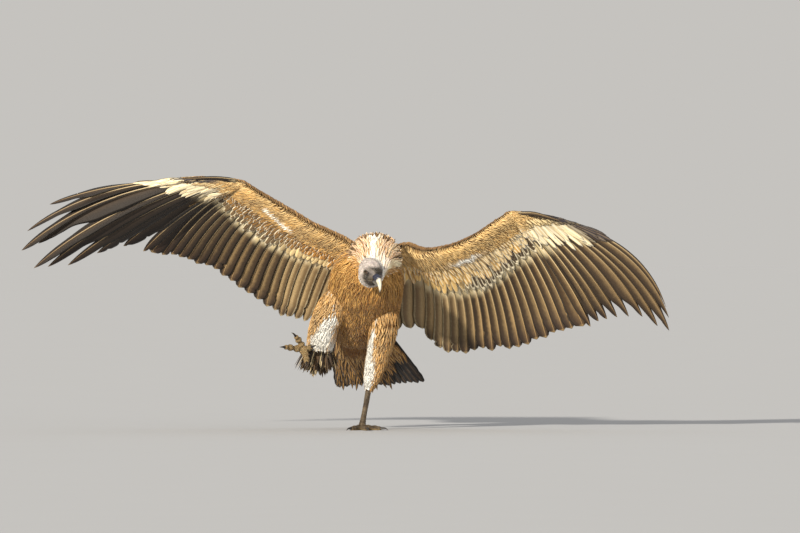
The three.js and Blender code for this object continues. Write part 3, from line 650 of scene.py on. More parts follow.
# ---------------------------------------------------------------- finishes
class Wire:
    """A socket of a finish. Arithmetic on it adds Math nodes."""

    def __init__(self, finish, socket):
        self.finish, self.socket = finish, socket

    def math(self, operation, *others):
        return self.finish.math(operation, self, *others)

    def __add__(self, other):
        return self.math("ADD", other)

    def __sub__(self, other):
        return self.math("SUBTRACT", other)

    def __mul__(self, other):
        return self.math("MULTIPLY", other)

    def __rsub__(self, other):
        return self.finish.math("SUBTRACT", other, self)

    __radd__, __rmul__ = __add__, __mul__

    def rise(self, low, high):
        """0 below low, 1 above high and an S-shaped rise between."""
        inputs = {"Value": self, "From Min": low, "From Max": high}
        return self.finish.node("ShaderNodeMapRange", {"interpolation_type": "SMOOTHSTEP"}, inputs)


class Finish:
    """A material in the making, around one Principled shader."""

    def __init__(self, name, **constants):
        self.material = bpy.data.materials.new(name)
        self.material.use_nodes = True
        self.tree = self.material.node_tree
        self.shader = self.tree.nodes["Principled BSDF"]
        for socket, value in constants.items():
            self.shader.inputs[socket.replace("_", " ")].default_value = value

    def node(self, kind, settings=None, inputs=None, output=0):
        made = self.tree.nodes.new(kind)
        for key, value in (settings or {}).items():
            setattr(made, key, value)
        for key, value in (inputs or {}).items():
            self.feed(made.inputs[key], value)
        return Wire(self, made.outputs[output])

    def feed(self, socket, value):
        if isinstance(value, Wire):
            self.tree.links.new(value.socket, socket)
        elif np.ndim(value):
            socket.default_value = [*value, 1.0] if socket.type == "RGBA" and len(value) == 3 else list(value)
        else:
            socket.default_value = value

    def math(self, operation, *values):
        return self.node("ShaderNodeMath", {"operation": operation}, dict(enumerate(values)))

    def mix(self, share, low, high):
        """The colour low where share is 0 and high where it is 1."""
        return self.node("ShaderNodeMix", {"data_type": "RGBA"}, {0: share, 6: low, 7: high}, 2)

    def tint(self, colour, by):
        """A colour times a number or a wire of numbers."""
        return self.node("ShaderNodeVectorMath", {"operation": "SCALE"}, {0: colour, "Scale": by})

    def parts(self, vector):
        split = self.node("ShaderNodeSeparateXYZ", inputs={0: vector}).socket.node
        return [Wire(self, socket) for socket in split.outputs]

    def attribute(self, name, output="Color"):
        return self.node("ShaderNodeAttribute", {"attribute_name": name}, output=output)

    def place(self):
        return self.node("ShaderNodeTexCoord", output="Object")

    def noise(self, vector, scale, detail=2.0, roughness=0.5):
        inputs = {"Vector": vector, "Scale": scale, "Detail": detail, "Roughness": roughness}
        return self.node("ShaderNodeTexNoise", inputs=inputs)

    def cells(self, vector, scale):
        """How far each place is from the edge of its cell."""
        inputs = {"Vector": vector, "Scale": scale}
        return self.node("ShaderNodeTexVoronoi", {"feature": "DISTANCE_TO_EDGE"}, inputs)

    def stretch(self, vector, by):
        return self.node("ShaderNodeVectorMath", {"operation": "MULTIPLY"}, {0: vector, 1: by})

    def scattered(self, vector, by, luck):
        """The vector stretched, and moved elsewhere for each feather by its luck."""
        inputs = {0: self.stretch(vector, by), 1: self.tint((17, 31, 0), luck)}
        return self.node("ShaderNodeVectorMath", {"operation": "ADD"}, inputs)

    def relief(self, height, depth):
        return self.node("ShaderNodeBump", inputs={"Height": height, "Distance": depth, "Strength": 1.0})

    def shade(self, **sockets):
        for name, value in sockets.items():
            self.feed(self.shader.inputs[name.replace("_", " ")], value)
        return self.material


def feather_finish(name, barbs, depth, roughness=0.62, sheen=0.12, ragged=0.5, shaded=0.5):
    """Web, shaft streak and rim from the vane's own colours, crossed by slanting barbs, and darker at the
    root by the share shaded: painted shade where the feathers over it would cover it."""
    f = Finish(name, Sheen_Weight=sheen, Sheen_Roughness=0.4, Specular_IOR_Level=0.3)
    vane = f.node("ShaderNodeUVMap", {"uv_map": "Vane"})
    x, t, _ = f.parts(vane)
    streak_width, rim_width, luck = f.parts(f.attribute("marks"))
    rooted = f.attribute("marks", "Alpha")
    s = (x * 2 - 1).math("ABSOLUTE")
    grain = f.noise(f.scattered(vane, (5, 9, 1), luck), 1.0, 3.0)
    edge = s + (grain - 0.5) * ragged
    streak = 1 - (edge - streak_width * 0.6).rise(0.0, 0.22)
    streak = streak * (1 - t.rise(0.86, 1.0) * 0.5)
    rim = f.math("MAXIMUM", edge, 1 - (1 - t) * 3.0 + (grain - 0.5) * 0.3)
    rim = (rim + rim_width * 1.3 - 1).rise(-0.1, 0.14) * (rim_width * 40).math("MINIMUM", 1)
    colour = f.mix(streak, f.attribute("web"), f.attribute("streak"))
    colour = f.mix(rim, colour, f.attribute("rim"))
    wave = ((t * barbs - s * (barbs * 0.14)) * TURN).math("SINE")
    # painted shade at the root of each feather, where the row over it would shade it
    root = 1 - rooted * (1 - t.rise(0, 0.5)) * shaded
    shade = (0.84 + luck * 0.34) * root * (0.97 + wave * 0.05) * (0.84 + grain * 0.32)
    shaft = 1 - s.rise(0.0, 0.09)
    return f.shade(
        Base_Color=f.tint(colour, shade),
        Roughness=roughness,
        Normal=f.relief(wave * 0.5 + shaft * 1.6, depth),
    )


def quill_finish(name, barbs, depth, back=0.55):
    """Flight feathers: the near colour fades into the web's away from the shaft, a worn rim, a pale
    raised shaft, slanting barbs, and a darker upper side. The first mark is 1 on the under side and
    the last is how pale the shaft is there."""
    f = Finish(name, Sheen_Weight=0.06, Sheen_Roughness=0.4, Specular_IOR_Level=0.32)
    vane = f.node("ShaderNodeUVMap", {"uv_map": "Vane"})
    x, t, _ = f.parts(vane)
    beneath, rim_width, luck = f.parts(f.attribute("marks"))
    bright = f.attribute("marks", "Alpha")
    s = (x * 2 - 1).math("ABSOLUTE")
    shifted = f.scattered(vane, (7, 26, 1), luck)
    grain = f.noise(shifted, 1.0, 3.0)
    across = f.noise(f.stretch(shifted, (0.35, 4, 1)), 1.0, 2.0)
    colour = f.mix((s + (grain - 0.5) * 0.4).rise(0.0, 0.62), f.attribute("streak"), f.attribute("web"))
    colour = f.tint(colour, 1.06 - s.rise(0.55, 1.0) * 0.42)
    rim = (s + (grain - 0.5) * 0.16 + rim_width - 1).rise(-0.04, 0.2)
    colour = f.mix(rim * 0.85, colour, f.attribute("rim"))
    worn = (t + (grain - 0.5) * 0.03).rise(0.975, 0.992)
    colour = f.mix(worn * 0.6, colour, f.attribute("rim"))
    wave = ((t * barbs - s * (barbs * 0.1)) * TURN).math("SINE")
    shade = (0.86 + luck * 0.24) * (0.94 + wave * 0.05) * (0.8 + grain * 0.24 + across * 0.16)
    shade = shade * (back + beneath * (1 - back))
    shaft = 1 - s.rise(0.04, 0.07)
    light = f.mix(t, ink(236, 214, 168), ink(164, 132, 88))
    horn = f.mix(beneath, ink(74, 54, 38), f.mix(bright, ink(88, 72, 56), light))
    return f.shade(
        Base_Color=f.mix(shaft, f.tint(colour, shade), horn),
        Roughness=0.5 - shaft * 0.14,
        Normal=f.relief(wave * 0.5, depth),
    )


def skin_finish():
    """Lilac-grey skin under the down, slate on the face, brown under the plumage, and scaled and
    brown on the legs and feet."""
    f = Finish("bare_skin", Specular_IOR_Level=0.35, Subsurface_Weight=0.04, Subsurface_Scale=0.004)
    place = f.place()
    face, leg, pad = f.parts(f.attribute("where"))
    speckle = f.noise(place, 420, 3.0, 0.6)
    blotch = f.noise(place, 60, 3.0)
    down = f.mix(blotch.rise(0.35, 0.7), ink(176, 164, 162), ink(214, 203, 196))
    bare = f.mix(blotch.rise(0.3, 0.75), ink(40, 36, 33), ink(80, 70, 56))
    colour = f.mix(face, down, bare)
    colour = f.mix(f.attribute("where", "Alpha"), colour, ink(134, 94, 50))
    groove = 1 - f.cells(place, 330).rise(0.0, 0.13)
    horny = f.mix(blotch.rise(0.35, 0.7), ink(78, 64, 50), ink(122, 106, 84))
    horny = f.mix(pad, horny, ink(158, 132, 90))
    horny = f.mix(groove * 0.75, horny, ink(48, 42, 36))
    colour = f.tint(f.mix(leg, colour, horny), 0.8 + speckle * 0.4)
    fold = f.noise(f.stretch(place, (1, 1, 2.4)), 260, 4.0, 0.6)
    bumps = f.relief(fold * (1 - leg) + (1 - groove) * leg * 1.4, 0.0011)
    return f.shade(Base_Color=colour, Roughness=0.52, Normal=bumps)


def bill_finish():
    """Pale horn, growing grey towards the cere, which is dark and waxy; fine lines run with the bill. Where
    the third mark is 1, as on the whole lower half, the horn is darkened as painted shade under the upper
    half.
    """
    f = Finish("bill_horn", Specular_IOR_Level=0.5, Coat_Weight=0.15, Coat_Roughness=0.25)
    place = f.place()
    u, slit, painted_shade = f.parts(f.attribute("along"))
    cloud = f.noise(place, 90, 3.0)
    lines = f.noise(f.stretch(place, (900, 220, 220)), 1.0, 3.0)
    horn = f.mix(cloud.rise(0.3, 0.75), ink(196, 188, 166), ink(232, 227, 212))
    horn = f.mix((u + cloud * 0.1).rise(0.82, 1.02), horn, ink(120, 112, 100))
    horn = f.mix((1 - (u + cloud * 0.08).rise(0.36, 0.5)) * 0.75, horn, ink(112, 114, 122))
    cere = f.mix(cloud, ink(24, 26, 42), ink(50, 54, 74))
    colour = f.mix((u + (cloud - 0.5) * 0.03).rise(0.36, 0.39), cere, horn)
    # painted shade: darkens the lower half of the bill all over
    colour = f.mix(painted_shade * 0.85, colour, ink(44, 42, 48))
    colour = f.mix(slit, colour, ink(14, 12, 14))
    return f.shade(
        Base_Color=f.tint(colour, 0.88 + lines * 0.2),
        Roughness=0.3 + cloud * 0.14,
        Normal=f.relief(lines, 0.00025),
    )


def eye_finish():
    """Dark pupil and a yellow-brown iris with spokes, set in near-black, under a wet coat. The iris is
    painted darker than its own yellow-brown, as painted shade under the brow.
    """
    f = Finish("eye_wet", Roughness=0.08, Coat_Weight=1.0, Coat_Roughness=0.02)
    gaze, spokes, _ = f.parts(f.attribute("gaze"))
    # painted shade: the iris colours are darkened below the eye's own yellow-brown
    iris = f.mix(spokes, ink(58, 38, 20), ink(116, 80, 38))
    iris = f.mix(gaze.rise(0.8, 0.86), ink(34, 22, 14), iris)
    colour = f.mix(gaze.rise(0.735, 0.76), ink(12, 10, 10), iris)
    colour = f.mix(gaze.rise(0.925, 0.935), colour, ink(3, 3, 4))
    return f.shade(Base_Color=colour)


def claw_finish():
    """Black horn, worn paler and duller towards the tip."""
    f = Finish("claw_horn", Specular_IOR_Level=0.5)
    worn = f.noise(f.stretch(f.place(), (300, 300, 900)), 1.0, 3.0)
    u, _, _ = f.parts(f.attribute("along"))
    colour = f.mix((u * 0.8 + worn * 0.4).rise(0.7, 1.15), ink(34, 30, 30), ink(98, 90, 80))
    return f.shade(Base_Color=colour, Roughness=0.34 + worn * 0.2, Normal=f.relief(worn, 0.0003))


def floor_finish(colour):
    """Matt and almost even, with faint clouds."""
    f = Finish("pale_floor", Specular_IOR_Level=0.0, Roughness=1.0)
    return f.shade(Base_Color=f.tint(tuple(colour), 0.99 + f.noise(f.place(), 3.0, 2.0) * 0.02))


BODY_FEATHER = feather_finish("body_feather", 24, 0.00008, shaded=0.4)
RUFF_FEATHER = feather_finish("ruff_feather", 36, 0.00009, sheen=0.2, ragged=0.7, shaded=0.22)
DOWN = feather_finish("down", 6, 0.00008, roughness=0.8, sheen=0.3, ragged=0.8, shaded=0.3)
COVERT = feather_finish("wing_covert", 44, 0.00008, roughness=0.6, shaded=0.4)
QUILL = quill_finish("flight_feather", 190, 0.0002)
SKIN, BILL, EYE, CLAW = skin_finish(), bill_finish(), eye_finish(), claw_finish()

# ---------------------------------------------------------------- head frame
LEVEL = np.array((np.sin(HEAD_YAW), -np.cos(HEAD_YAW), 0.0))
FORWARD = LEVEL * np.cos(HEAD_PITCH) + np.array((0, 0, -np.sin(HEAD_PITCH)))
CROWN = LEVEL * np.sin(HEAD_PITCH) + np.array((0, 0, np.cos(HEAD_PITCH)))
RIGHT = np.cross(FORWARD, CROWN)
HEAD_AXES = np.stack((FORWARD, RIGHT, CROWN))


def head_point(ahead, sideways, up):
    """From head coordinates, along, sideways to the bird's right and up, to the working frame."""
    return HEAD_CENTRE + np.stack(np.broadcast_arrays(ahead, sideways, up), axis=-1) @ HEAD_AXES


def head_coordinates(points):
    """From the working frame to head coordinates."""
    return np.moveaxis((points - HEAD_CENTRE) @ HEAD_AXES.T, -1, 0)


# ---------------------------------------------------------------- the skin
def tube_shell(grid):
    """Points, loops and sizes of a closed tube from its rings, with one flat face at either end."""
    return grid.reshape(-1, 3), *tube_faces(1, *grid.shape[:2])


def fused(name, shells, voxel, rounds):
    """Joins closed shells into one closed mesh on a grid of voxels and smooths it."""
    starts = np.cumsum([0] + [len(s[0]) for s in shells[:-1]])
    loops = np.concatenate([s[1] + start for s, start in zip(shells, starts)])
    points, sizes = (np.concatenate([s[k] for s in shells]) for k in (0, 2))
    rough = put_mesh(name, points, loops, sizes)
    remesh = rough.modifiers.new("fuse", "REMESH")
    remesh.mode, remesh.voxel_size = "VOXEL", voxel * MM
    soften = rough.modifiers.new("soften", "SMOOTH")
    soften.factor, soften.iterations = 0.5, rounds
    ready = bpy.data.meshes.new_from_object(rough.evaluated_get(bpy.context.evaluated_depsgraph_get()))
    points = np.empty(len(ready.vertices) * 3, np.float32)
    ready.vertices.foreach_get("co", points)
    normals = np.empty(len(ready.vertices) * 3, np.float32)
    ready.vertices.foreach_get("normal", normals)
    corners = np.empty(len(ready.loops), np.int32)
    ready.loops.foreach_get("vertex_index", corners)
    sizes = np.empty(len(ready.polygons), np.int32)
    ready.polygons.foreach_get("loop_total", sizes)
    bpy.data.objects.remove(rough)
    bpy.data.meshes.remove(ready)
    points, normals = (a.reshape(-1, 3).astype(float) for a in (points, normals))
    return points / MM - HOME, normals, corners, sizes


def tube_grid(tube, count, around, start=0.0, end=1.0):
    """count rings of a tube, from start to end, with around points each."""
    u, angle = np.meshgrid(np.linspace(start, end, count), np.arange(around) * TURN / around, indexing="ij")
    return tube.point(u, angle)


def wing_shell(sheet, count=90, around=40):
    """Closed tube round the flesh of a wing: u runs back and forth as .5 - .5 cos a and the thickness
    is the face's half thickness times the root of sin a, from the upper face round to the under."""
    face = SheetFace(sheet, 1)
    stations = np.linspace(-0.9, QUILLS - 1.8, count)
    v, a = np.meshgrid(stations, np.arange(around) * TURN / around, indexing="ij")
    length = np.interp(v, np.arange(-1, QUILLS + 1), sheet.length)
    u = lerp(NOSE, np.minimum(face.fleshy(v) * length * 0.94, FLESH_CHORD), 0.5 - 0.5 * np.cos(a))
    half = np.maximum(face.half(u, v) - WING_COAT, 1.2) * np.sign(np.sin(a)) * np.sqrt(abs(np.sin(a)))
    return sheet.middle(u, v) + sheet.rise_at(u, v) * half[..., None]


def head_grid(count=60, around=56):
    """Rings square to the head's axis, from the nape to the cere."""
    stations = np.linspace(-44 + HEAD_COAT, 49, count)
    place, angle = np.meshgrid(stations, np.arange(around) * TURN / around, indexing="ij")
    wide, high, middle = (stops(HEAD_SECTIONS, k)(place) for k in (1, 2, 3))
    narrow = 1 - 0.16 * np.clip(-np.sin(angle), 0, 1) ** 2 * smooth(-10, 25, place)
    sideways = np.cos(angle) * (wide - HEAD_COAT) * narrow
    return head_point(place, sideways, middle + np.sin(angle) * (high - HEAD_COAT))


def head_relief(points, normals):
    """Moves the skin of the head out and in: brows, eye sockets with lids, lores, cheeks with a gape
    fold, the ear, a shallow crown groove, and fine wrinkles on the throat and round the eyes."""
    ahead, sideways, up = head_coordinates(points)
    near = smooth(-60, -30, ahead)
    side = abs(sideways)
    eye = np.sqrt(((ahead - EYE_PLACE[0]) / 1.15) ** 2 + (up - EYE_PLACE[2]) ** 2)
    facing = smooth(8, 16, side)
    brow_line = EYE_PLACE[2] + 8.5 + 0.18 * (EYE_PLACE[0] - ahead)
    brow = 4.6 * bell(up, brow_line - 0.8, 3.4) * bell(ahead, EYE_PLACE[0] + 3, 15) * facing
    socket = -2.4 * bell(eye, 0, 13) * facing
    lid = 2.3 * bell(eye, 7.6, 1.5) * facing
    opening = -7.5 * (1 - smooth(4.0, 5.8, eye)) * facing
    lores = -2.4 * bell(ahead, 42, 8) * bell(up, 0, 8) * facing
    gape_line = -15 - 0.42 * (46 - ahead)
    gape = -2.6 * bell(up, gape_line, 1.5) * smooth(2, 12, ahead) * facing
    lip = 1.6 * bell(up, gape_line - 3.5, 2.6) * smooth(0, 12, ahead) * facing
    cheek = 2.2 * bell(ahead, 4, 15) * bell(up, -20, 12) * facing
    ear = -2.6 * bell(ahead, -8, 3.6) * bell(up, -4, 4.2) * facing
    crown = -1.3 * bell(sideways, 0, 6) * smooth(10, 30, up) * smooth(-20, 20, ahead)
    wrinkle = 0.8 * np.sin(up * 1.05 + 3.2 * mottle(points, 16, 5)) * smooth(-6, -20, up)
    wrinkle = wrinkle * smooth(-45, -20, ahead)
    rings = 0.45 * np.sin(eye * 2.3) * smooth(8.5, 10, eye) * (1 - smooth(15, 22, eye)) * facing
    grain = 0.35 * mottle(points, 2.6, 6) + 0.5 * mottle(points, 7, 7)
    features = (brow, socket, lid, opening, lores, gape, lip, cheek, ear, crown, wrinkle, rings, grain)
    return points + normals * (sum(features) * near)[:, None]


def toe_line(leg, toe):
    """The line of a toe: it leaves the foot along its heading and bends evenly towards the sole."""
    way, length, bend = leg["toes"][toe]
    ahead, sole = unit(np.array(way, float)), unit(np.array(leg["sole"], float))
    a = bend * np.arange(5)[:, None] / 4
    forward, down = ahead * length * np.sin(a) / bend, sole * length * (1 - np.cos(a)) / bend
    return spline(np.array(leg["foot"]) + forward + down)


def toe_height(leg, line, u):
    """How far a standing toe's line is lifted or lowered, so that it comes to lie on its pads."""
    if not leg["standing"]:
        return np.zeros_like(u)
    flat = lerp(leg["foot"][2], line(np.array(1.0))[2], u)
    return lerp(leg["foot"][2], TOE_TIP_HEIGHT, u) - flat


def foot_shells(leg):
    """The tarsus with its ankle and pad, and the four toes with a pad under each joint."""
    foot, sole = np.array(leg["foot"], float), unit(np.array(leg["sole"], float))
    ankle = np.array(leg["ankle"], float)
    under = leg["foot"][2] + 3 if leg["standing"] else PAD_RADIUS * 0.7
    above = ankle + (ankle - foot) * 0.12
    path = [above, ankle, lerp(ankle, foot, 0.5), foot, foot + sole * under]
    slim = TARSUS_RADIUS + 1
    wide = [[0, 10], [0.2, 12.5], [0.3, 10.5], [0.42, slim], [0.62, slim], [0.75, 13.5], [0.86, 16], [1, 14]]
    grids = [tube_grid(Tube(path, wide, wide), 60, 28)]
    side = (0, 0, 1) if leg["standing"] else leg["sole"]
    for toe in leg["toes"]:
        line = toe_line(leg, toe)
        u = np.linspace(0, 1, 48)
        centre = line(u)
        centre[:, 2] += toe_height(leg, line, u)
        swell = 1 + (0.11 if leg["standing"] else 0.24) * np.cos(u * 6 * np.pi)
        stout = 1.0 if leg["standing"] else 1.14
        radius = TOE_RADIUS * stout * lerp(0.96, TOE_TAPER, u) * swell
        radius = radius * np.sqrt(np.clip((1.02 - u) * 9, 0, 1))
        table = np.stack((u, radius), axis=-1)
        grids.append(tube_grid(Tube(centre[::3], table, table, side=side), 60, 24))
    return [tube_shell(grid) for grid in grids]


def scute_relief(points, normals, leg):
    """Overlapping plates across the front of the tarsus and the tops of the toes, round granules
    elsewhere; nothing sinks below the floor."""
    foot, ankle = np.array(leg["foot"], float), np.array(leg["ankle"], float)
    axis = unit(ankle - foot)
    height = ((points - foot) @ axis) / np.linalg.norm(ankle - foot)
    sole = unit(np.array(leg["sole"], float))
    reach = np.linalg.norm(points - foot - axis * ((points - foot) @ axis)[:, None], axis=1)
    top = smooth(0.1, 0.6, -(normals @ sole))
    saw = (reach / 4.6) % 1.0
    plates = 0.9 * (saw - 0.5) * top * smooth(16, 24, reach)
    shin = 0.55 * (((height * 24) % 1.0) - 0.5) * smooth(0.16, 0.3, height)
    shin = shin * smooth(-0.2, 0.5, -normals[:, 1])
    grains = 0.35 * mottle(points, 1.9, 9)
    moved = points + normals * (plates + shin + grains)[:, None]
    if leg["standing"]:
        moved[:, 2] = np.maximum(moved[:, 2], 0.0)
    return moved


def make_skin():
    """One skin for trunk, neck, head, arms, thighs and feet, each part only as fine as it shows.
    Returns the points and normals of the head and neck."""
    body = [tube_shell(tube_grid(Tube(TRUNK_SPINE, TRUNK_WIDTH, TRUNK_DEPTH, TRUNK_COAT), 60, 60))]
    for side, leg in LEGS.items():
        thigh = Tube(leg["thigh"], leg["width"], leg["depth"], THIGH_COAT)
        body.append(tube_shell(tube_grid(thigh, 40, 32, 0.0, 0.96)))
        body.append(tube_shell(wing_shell(SHEETS[side])))
    neck = tube_grid(Tube(NECK_SPINE, NECK_RADIUS, NECK_RADIUS, NECK_COAT), 50, 40)
    parts = [fused("skin_body", body, 6.0, 4)]
    head, head_normals, *faces = fused("skin_head", [tube_shell(head_grid()), tube_shell(neck)], 1.9, 6)
    head = head_relief(head, head_normals)
    parts.append((head, head_normals, *faces))
    for leg in LEGS.values():
        points, normals, corners, sizes = fused("skin_foot", foot_shells(leg), 1.35, 2)
        parts.append((scute_relief(points, normals, leg), normals, corners, sizes))
    counts = [len(part[0]) for part in parts]
    points = np.concatenate([part[0] for part in parts])
    bare_leg = np.repeat((0, 0, 1, 1), counts)
    plumed = np.repeat((1, 0, 0, 0), counts)
    ahead, _, up = head_coordinates(points)
    face = smooth(6, 30, ahead) * (1 - smooth(18, 28, up - ahead * 0.1)) * (1 - bare_leg)
    face = np.clip(face + 0.3 * mottle(points, 12, 8) * face, 0, 1)
    eye = np.hypot(ahead - EYE_PLACE[0], up - EYE_PLACE[2])
    # A ring of dark bare skin round the eye: partly its own colour, partly painted shade under the brow.
    face = np.maximum(face, bell(eye, 8, 4.5) * (1 - bare_leg))
    pads = [np.zeros(counts[0] + counts[1])]
    for part, leg in zip(parts[2:], LEGS.values()):
        under = smooth(0.0, 0.5, part[1] @ unit(np.array(leg["sole"], float)))
        pads.append(under if leg["standing"] else 0.6 + 0.4 * under)
    where = np.stack((face, bare_leg, np.concatenate(pads), plumed), axis=-1)
    starts = np.cumsum([0] + counts[:-1])
    loops = np.concatenate([part[2] + start for part, start in zip(parts, starts)])
    sizes = np.concatenate([part[3] for part in parts])
    piece = put_mesh("skin", points, loops, sizes, colours={"where": where})
    nodes = ["trunk", "neck", "head"]
    for side, leg in LEGS.items():
        nodes += [f"wing_{side}_{part}" for part in ("upper_arm", "forearm", "hand")]
        nodes += [f"thigh_{side}", f"tarsus_{side}"] + [f"toe_{side}_{toe}" for toe in leg["toes"]]
    finished(piece, SKIN, "down", *nodes)
    return head, head_normals


# ---------------------------------------------------------------- coat of the body
def body_coat():
    """Long narrow feathers in rows down the breast and flanks, broad ones on the back."""
    trunk = Tube(TRUNK_SPINE, TRUNK_WIDTH, TRUNK_DEPTH)
    u, v, roots = rows(trunk, (-0.06, 0.99), (0.0, TURN), 8.3, 4.4)
    for name, part in (("breast_coat", u < 0.48), ("belly_coat", u >= 0.48)):
        chosen = part & (np.sin(v) > -0.35)
        feathers = breast_feathers(trunk, u[chosen], v[chosen], roots[chosen])
        coat(name, [feathers], BODY_FEATHER, "body_feathers")
    u, v, roots = rows(trunk, (-0.12, 0.98), (TURN * 0.5, TURN), 17.0, 15.0)
    coat("mantle_coat", [mantle_feathers(trunk, u, v, roots)], BODY_FEATHER, "body_feathers")


def breast_feathers(trunk, u, v, roots):
    """Golden locks of wavy feathers, browner and duller towards the vent, each with a pale shaft."""
    count = len(u)
    place = trunk.point(u, v)
    length = 72 * (0.7 + 0.6 * chance.uniform(size=count)) * lerp(0.85, 1.1, smooth(0.1, 0.8, u))
    lift = chance.uniform(0.5, 4.5, count)
    line, up = lay(trunk, u, v, length, 7, TRUNK_COAT * 0.6, lift, chance.normal(0, 0.13, count), 4.6)
    half = widths(lanceolate, 7, 2.7, count, 0.7, 0.6)
    locks = mottle(np.stack((np.cos(v), np.sin(v), u * 0.45), axis=-1), 0.045, 21)
    patches = locks * 0.5 + mottle(place, 46, 23) * 0.3 + chance.normal(0, 0.26, count)
    web = blend_ink(ink(190, 130, 56), ink(80, 46, 16), np.clip(0.48 + patches, 0, 1))
    vent = smooth(0.62, 0.9, u)
    web = blend_ink(web, ink(112, 78, 38), vent * 0.8)
    web = blend_ink(web, ink(196, 142, 72), 0.6 * (1 - smooth(0.02, 0.2, u)))
    dull = np.clip(0.34 + patches * 0.8 + vent * 0.6, 0, 1)
    streak = blend_ink(ink(234, 192, 116), ink(160, 104, 40), dull)
    rim = blend_ink(web, BUFF, 0.5 * (1 - vent))
    shown = look(count, web, streak, rim, 0.16 + 0.2 * chance.uniform(size=count), 0.1)
    return vanes(line, up, half, shown, roots, thick=0.6, droop=0.16, roll=chance.normal(0, 0.14, count))


def mantle_feathers(trunk, u, v, roots):
    """Broad round feathers with buff edges, from behind the ruff to the rump."""
    count = len(u)
    length = 66 * (0.85 + 0.3 * chance.uniform(size=count))
    lift, drift = chance.uniform(1.5, 5, count), chance.normal(0, 0.08, count)
    line, up = lay(trunk, u, v, length, 8, TRUNK_COAT * 0.7, lift, drift)
    half = widths(lambda t: rounded(t, 3.0), 8, 11.5, count, 0.85, 0.3)
    tone = uneven(0.5, 0.5, trunk.point(u, v), 60, 22, 0.2)
    shown = look(count, blend_ink(FAWN, RUST, tone), blend_ink(UMBER, RUST, tone), CREAM, 0.1, 0.12)
    return vanes(line, up, half, shown, roots, 5, thick=0.7, droop=0.2, roll=chance.normal(0, 0.06, count))


# The white of each thigh as (height, middle, half width) rows, seen from the front.
THIGH_WHITE = {
    "left": [[104, 70, 12], [130, 73, 16], [194, 82, 24], [272, 84, 16], [333, 94, 7], [352, 97, 1]],
    "right": [
        [258, -74, 1], [269, -75, 17], [289, -85, 31], [309, -78, 35],
        [337, -65, 35], [360, -51, 31], [384, -36, 20], [398, -30, 2],
    ],
}


def thigh_coat(side, leg):
    """Short feathers down the thigh: white in a band in front and all along the inner side, rusty
    elsewhere. Those of the standing leg end with the thigh; the lifted one ends in dark trousers."""
    thigh = Tube(leg["thigh"], leg["width"], leg["depth"])
    standing = leg["standing"]
    u, v, roots = rows(thigh, (0.0, 0.98 if standing else 0.9), (0.0, TURN), 8.4, 5.1)
    count = len(u)
    place, away = thigh.point(u, v), normal(thigh, u, v)
    middle, half_white = (stops(THIGH_WHITE[side], k)(place[:, 2] - 18) for k in (1, 2))
    ragged = 0.22 * mottle(place, 14, 30) + chance.normal(0, 0.12, count)
    band = 1 - smooth(0.85, 1.15, abs(place[:, 0] - middle) / half_white + ragged)
    inward = away[:, 0] * (-1 if side == "left" else 1) + 0.2 * mottle(place, 24, 33)
    within = smooth(0.35, 0.7, inward) * smooth(0.34, 0.5, u) * (1 - smooth(0.8, 0.95, u))
    pale = np.maximum(band * (1 - smooth(-0.1, 0.3, away[:, 1])), within)
    length = lerp(44, 54, pale) * (0.8 + 0.4 * chance.uniform(size=count))
    length = length * (lerp(1, 0.3, smooth(0.74, 0.95, u)) if standing else 1)
    lift = chance.uniform(0, 3.0, count) * (1 - 0.7 * pale)
    drift, end = chance.normal(0, 0.14, count), 1.04 if standing else 1.3
    line, up = lay(thigh, u, v, length, 7, THIGH_COAT * 0.7, lift, drift, 1.4, end)
    half = widths(lanceolate, 7, 3.6, count)
    tone = uneven(0.46, 0.4, place * (1, 1, 0.3), 9, 34, 0.28)
    web = blend_ink(blend_ink(ink(206, 150, 76), ink(112, 70, 28), tone), WHITE, pale)
    low = smooth(0.7, 0.86, u) * (0 if standing else 1)
    web = blend_ink(web, ink(150, 122, 76), low * (1 - pale) * 0.8)
    streak = blend_ink(ink(236, 204, 150), WHITE, pale)
    shown = look(count, web, streak, blend_ink(web, CREAM, 0.4 * (1 - pale)), 0.2, 0.1, 1 - pale)
    spot = roots * (0.48, 1) + (0 if standing else 0.5, 0)
    roll = chance.normal(0, 0.12, count) * (1 - 0.8 * pale)
    thick, droop = lerp(0.5, 0.3, pale), lerp(0.16, 0.04, pale)[:, None, None]
    coats = [vanes(line, up, half, shown, spot, thick=thick, droop=droop, roll=roll)]
    return coats if standing else coats + [trousers(thigh)]


def trousers(thigh):
    """Dark pointed feathers, some with cream shafts, that hang off the end of the lifted thigh."""
    u, v, roots = rows(thigh, (0.66, 0.9), (0.0, TURN), 9.0, 7.0)
    count = len(u)
    place, away = thigh.point(u, v), normal(thigh, u, v)
    way = np.array((-0.12, 0.1, -1.0)) + away * (0.22, 0.3, 0.0) + chance.normal(0, 0.08, (count, 3))
    length = chance.uniform(0.72, 1.1, count) * np.clip(place[:, 2] - 202, 40, 110)
    line, up = hang(place, away, way, length, 8, THIGH_COAT * 0.7, 3.0)
    half = widths(lanceolate, 8, 5.4, count)
    pale = chance.uniform(0, 1, count) > 0.62
    web = blend_ink(ink(50, 38, 28), ink(96, 72, 44), chance.uniform(0, 1, count))
    shown = look(count, web, blend_ink(web, CREAM, 0.9 * pale), blend_ink(web, CREAM, 0.3 * pale), 0.26, 0.08)
    spot = roots * (0.48, 0.08) + (0.5, 0.91)
    return vanes(line, up, half, shown, spot, thick=0.7, droop=0.2, roll=chance.normal(0, 0.2, count))


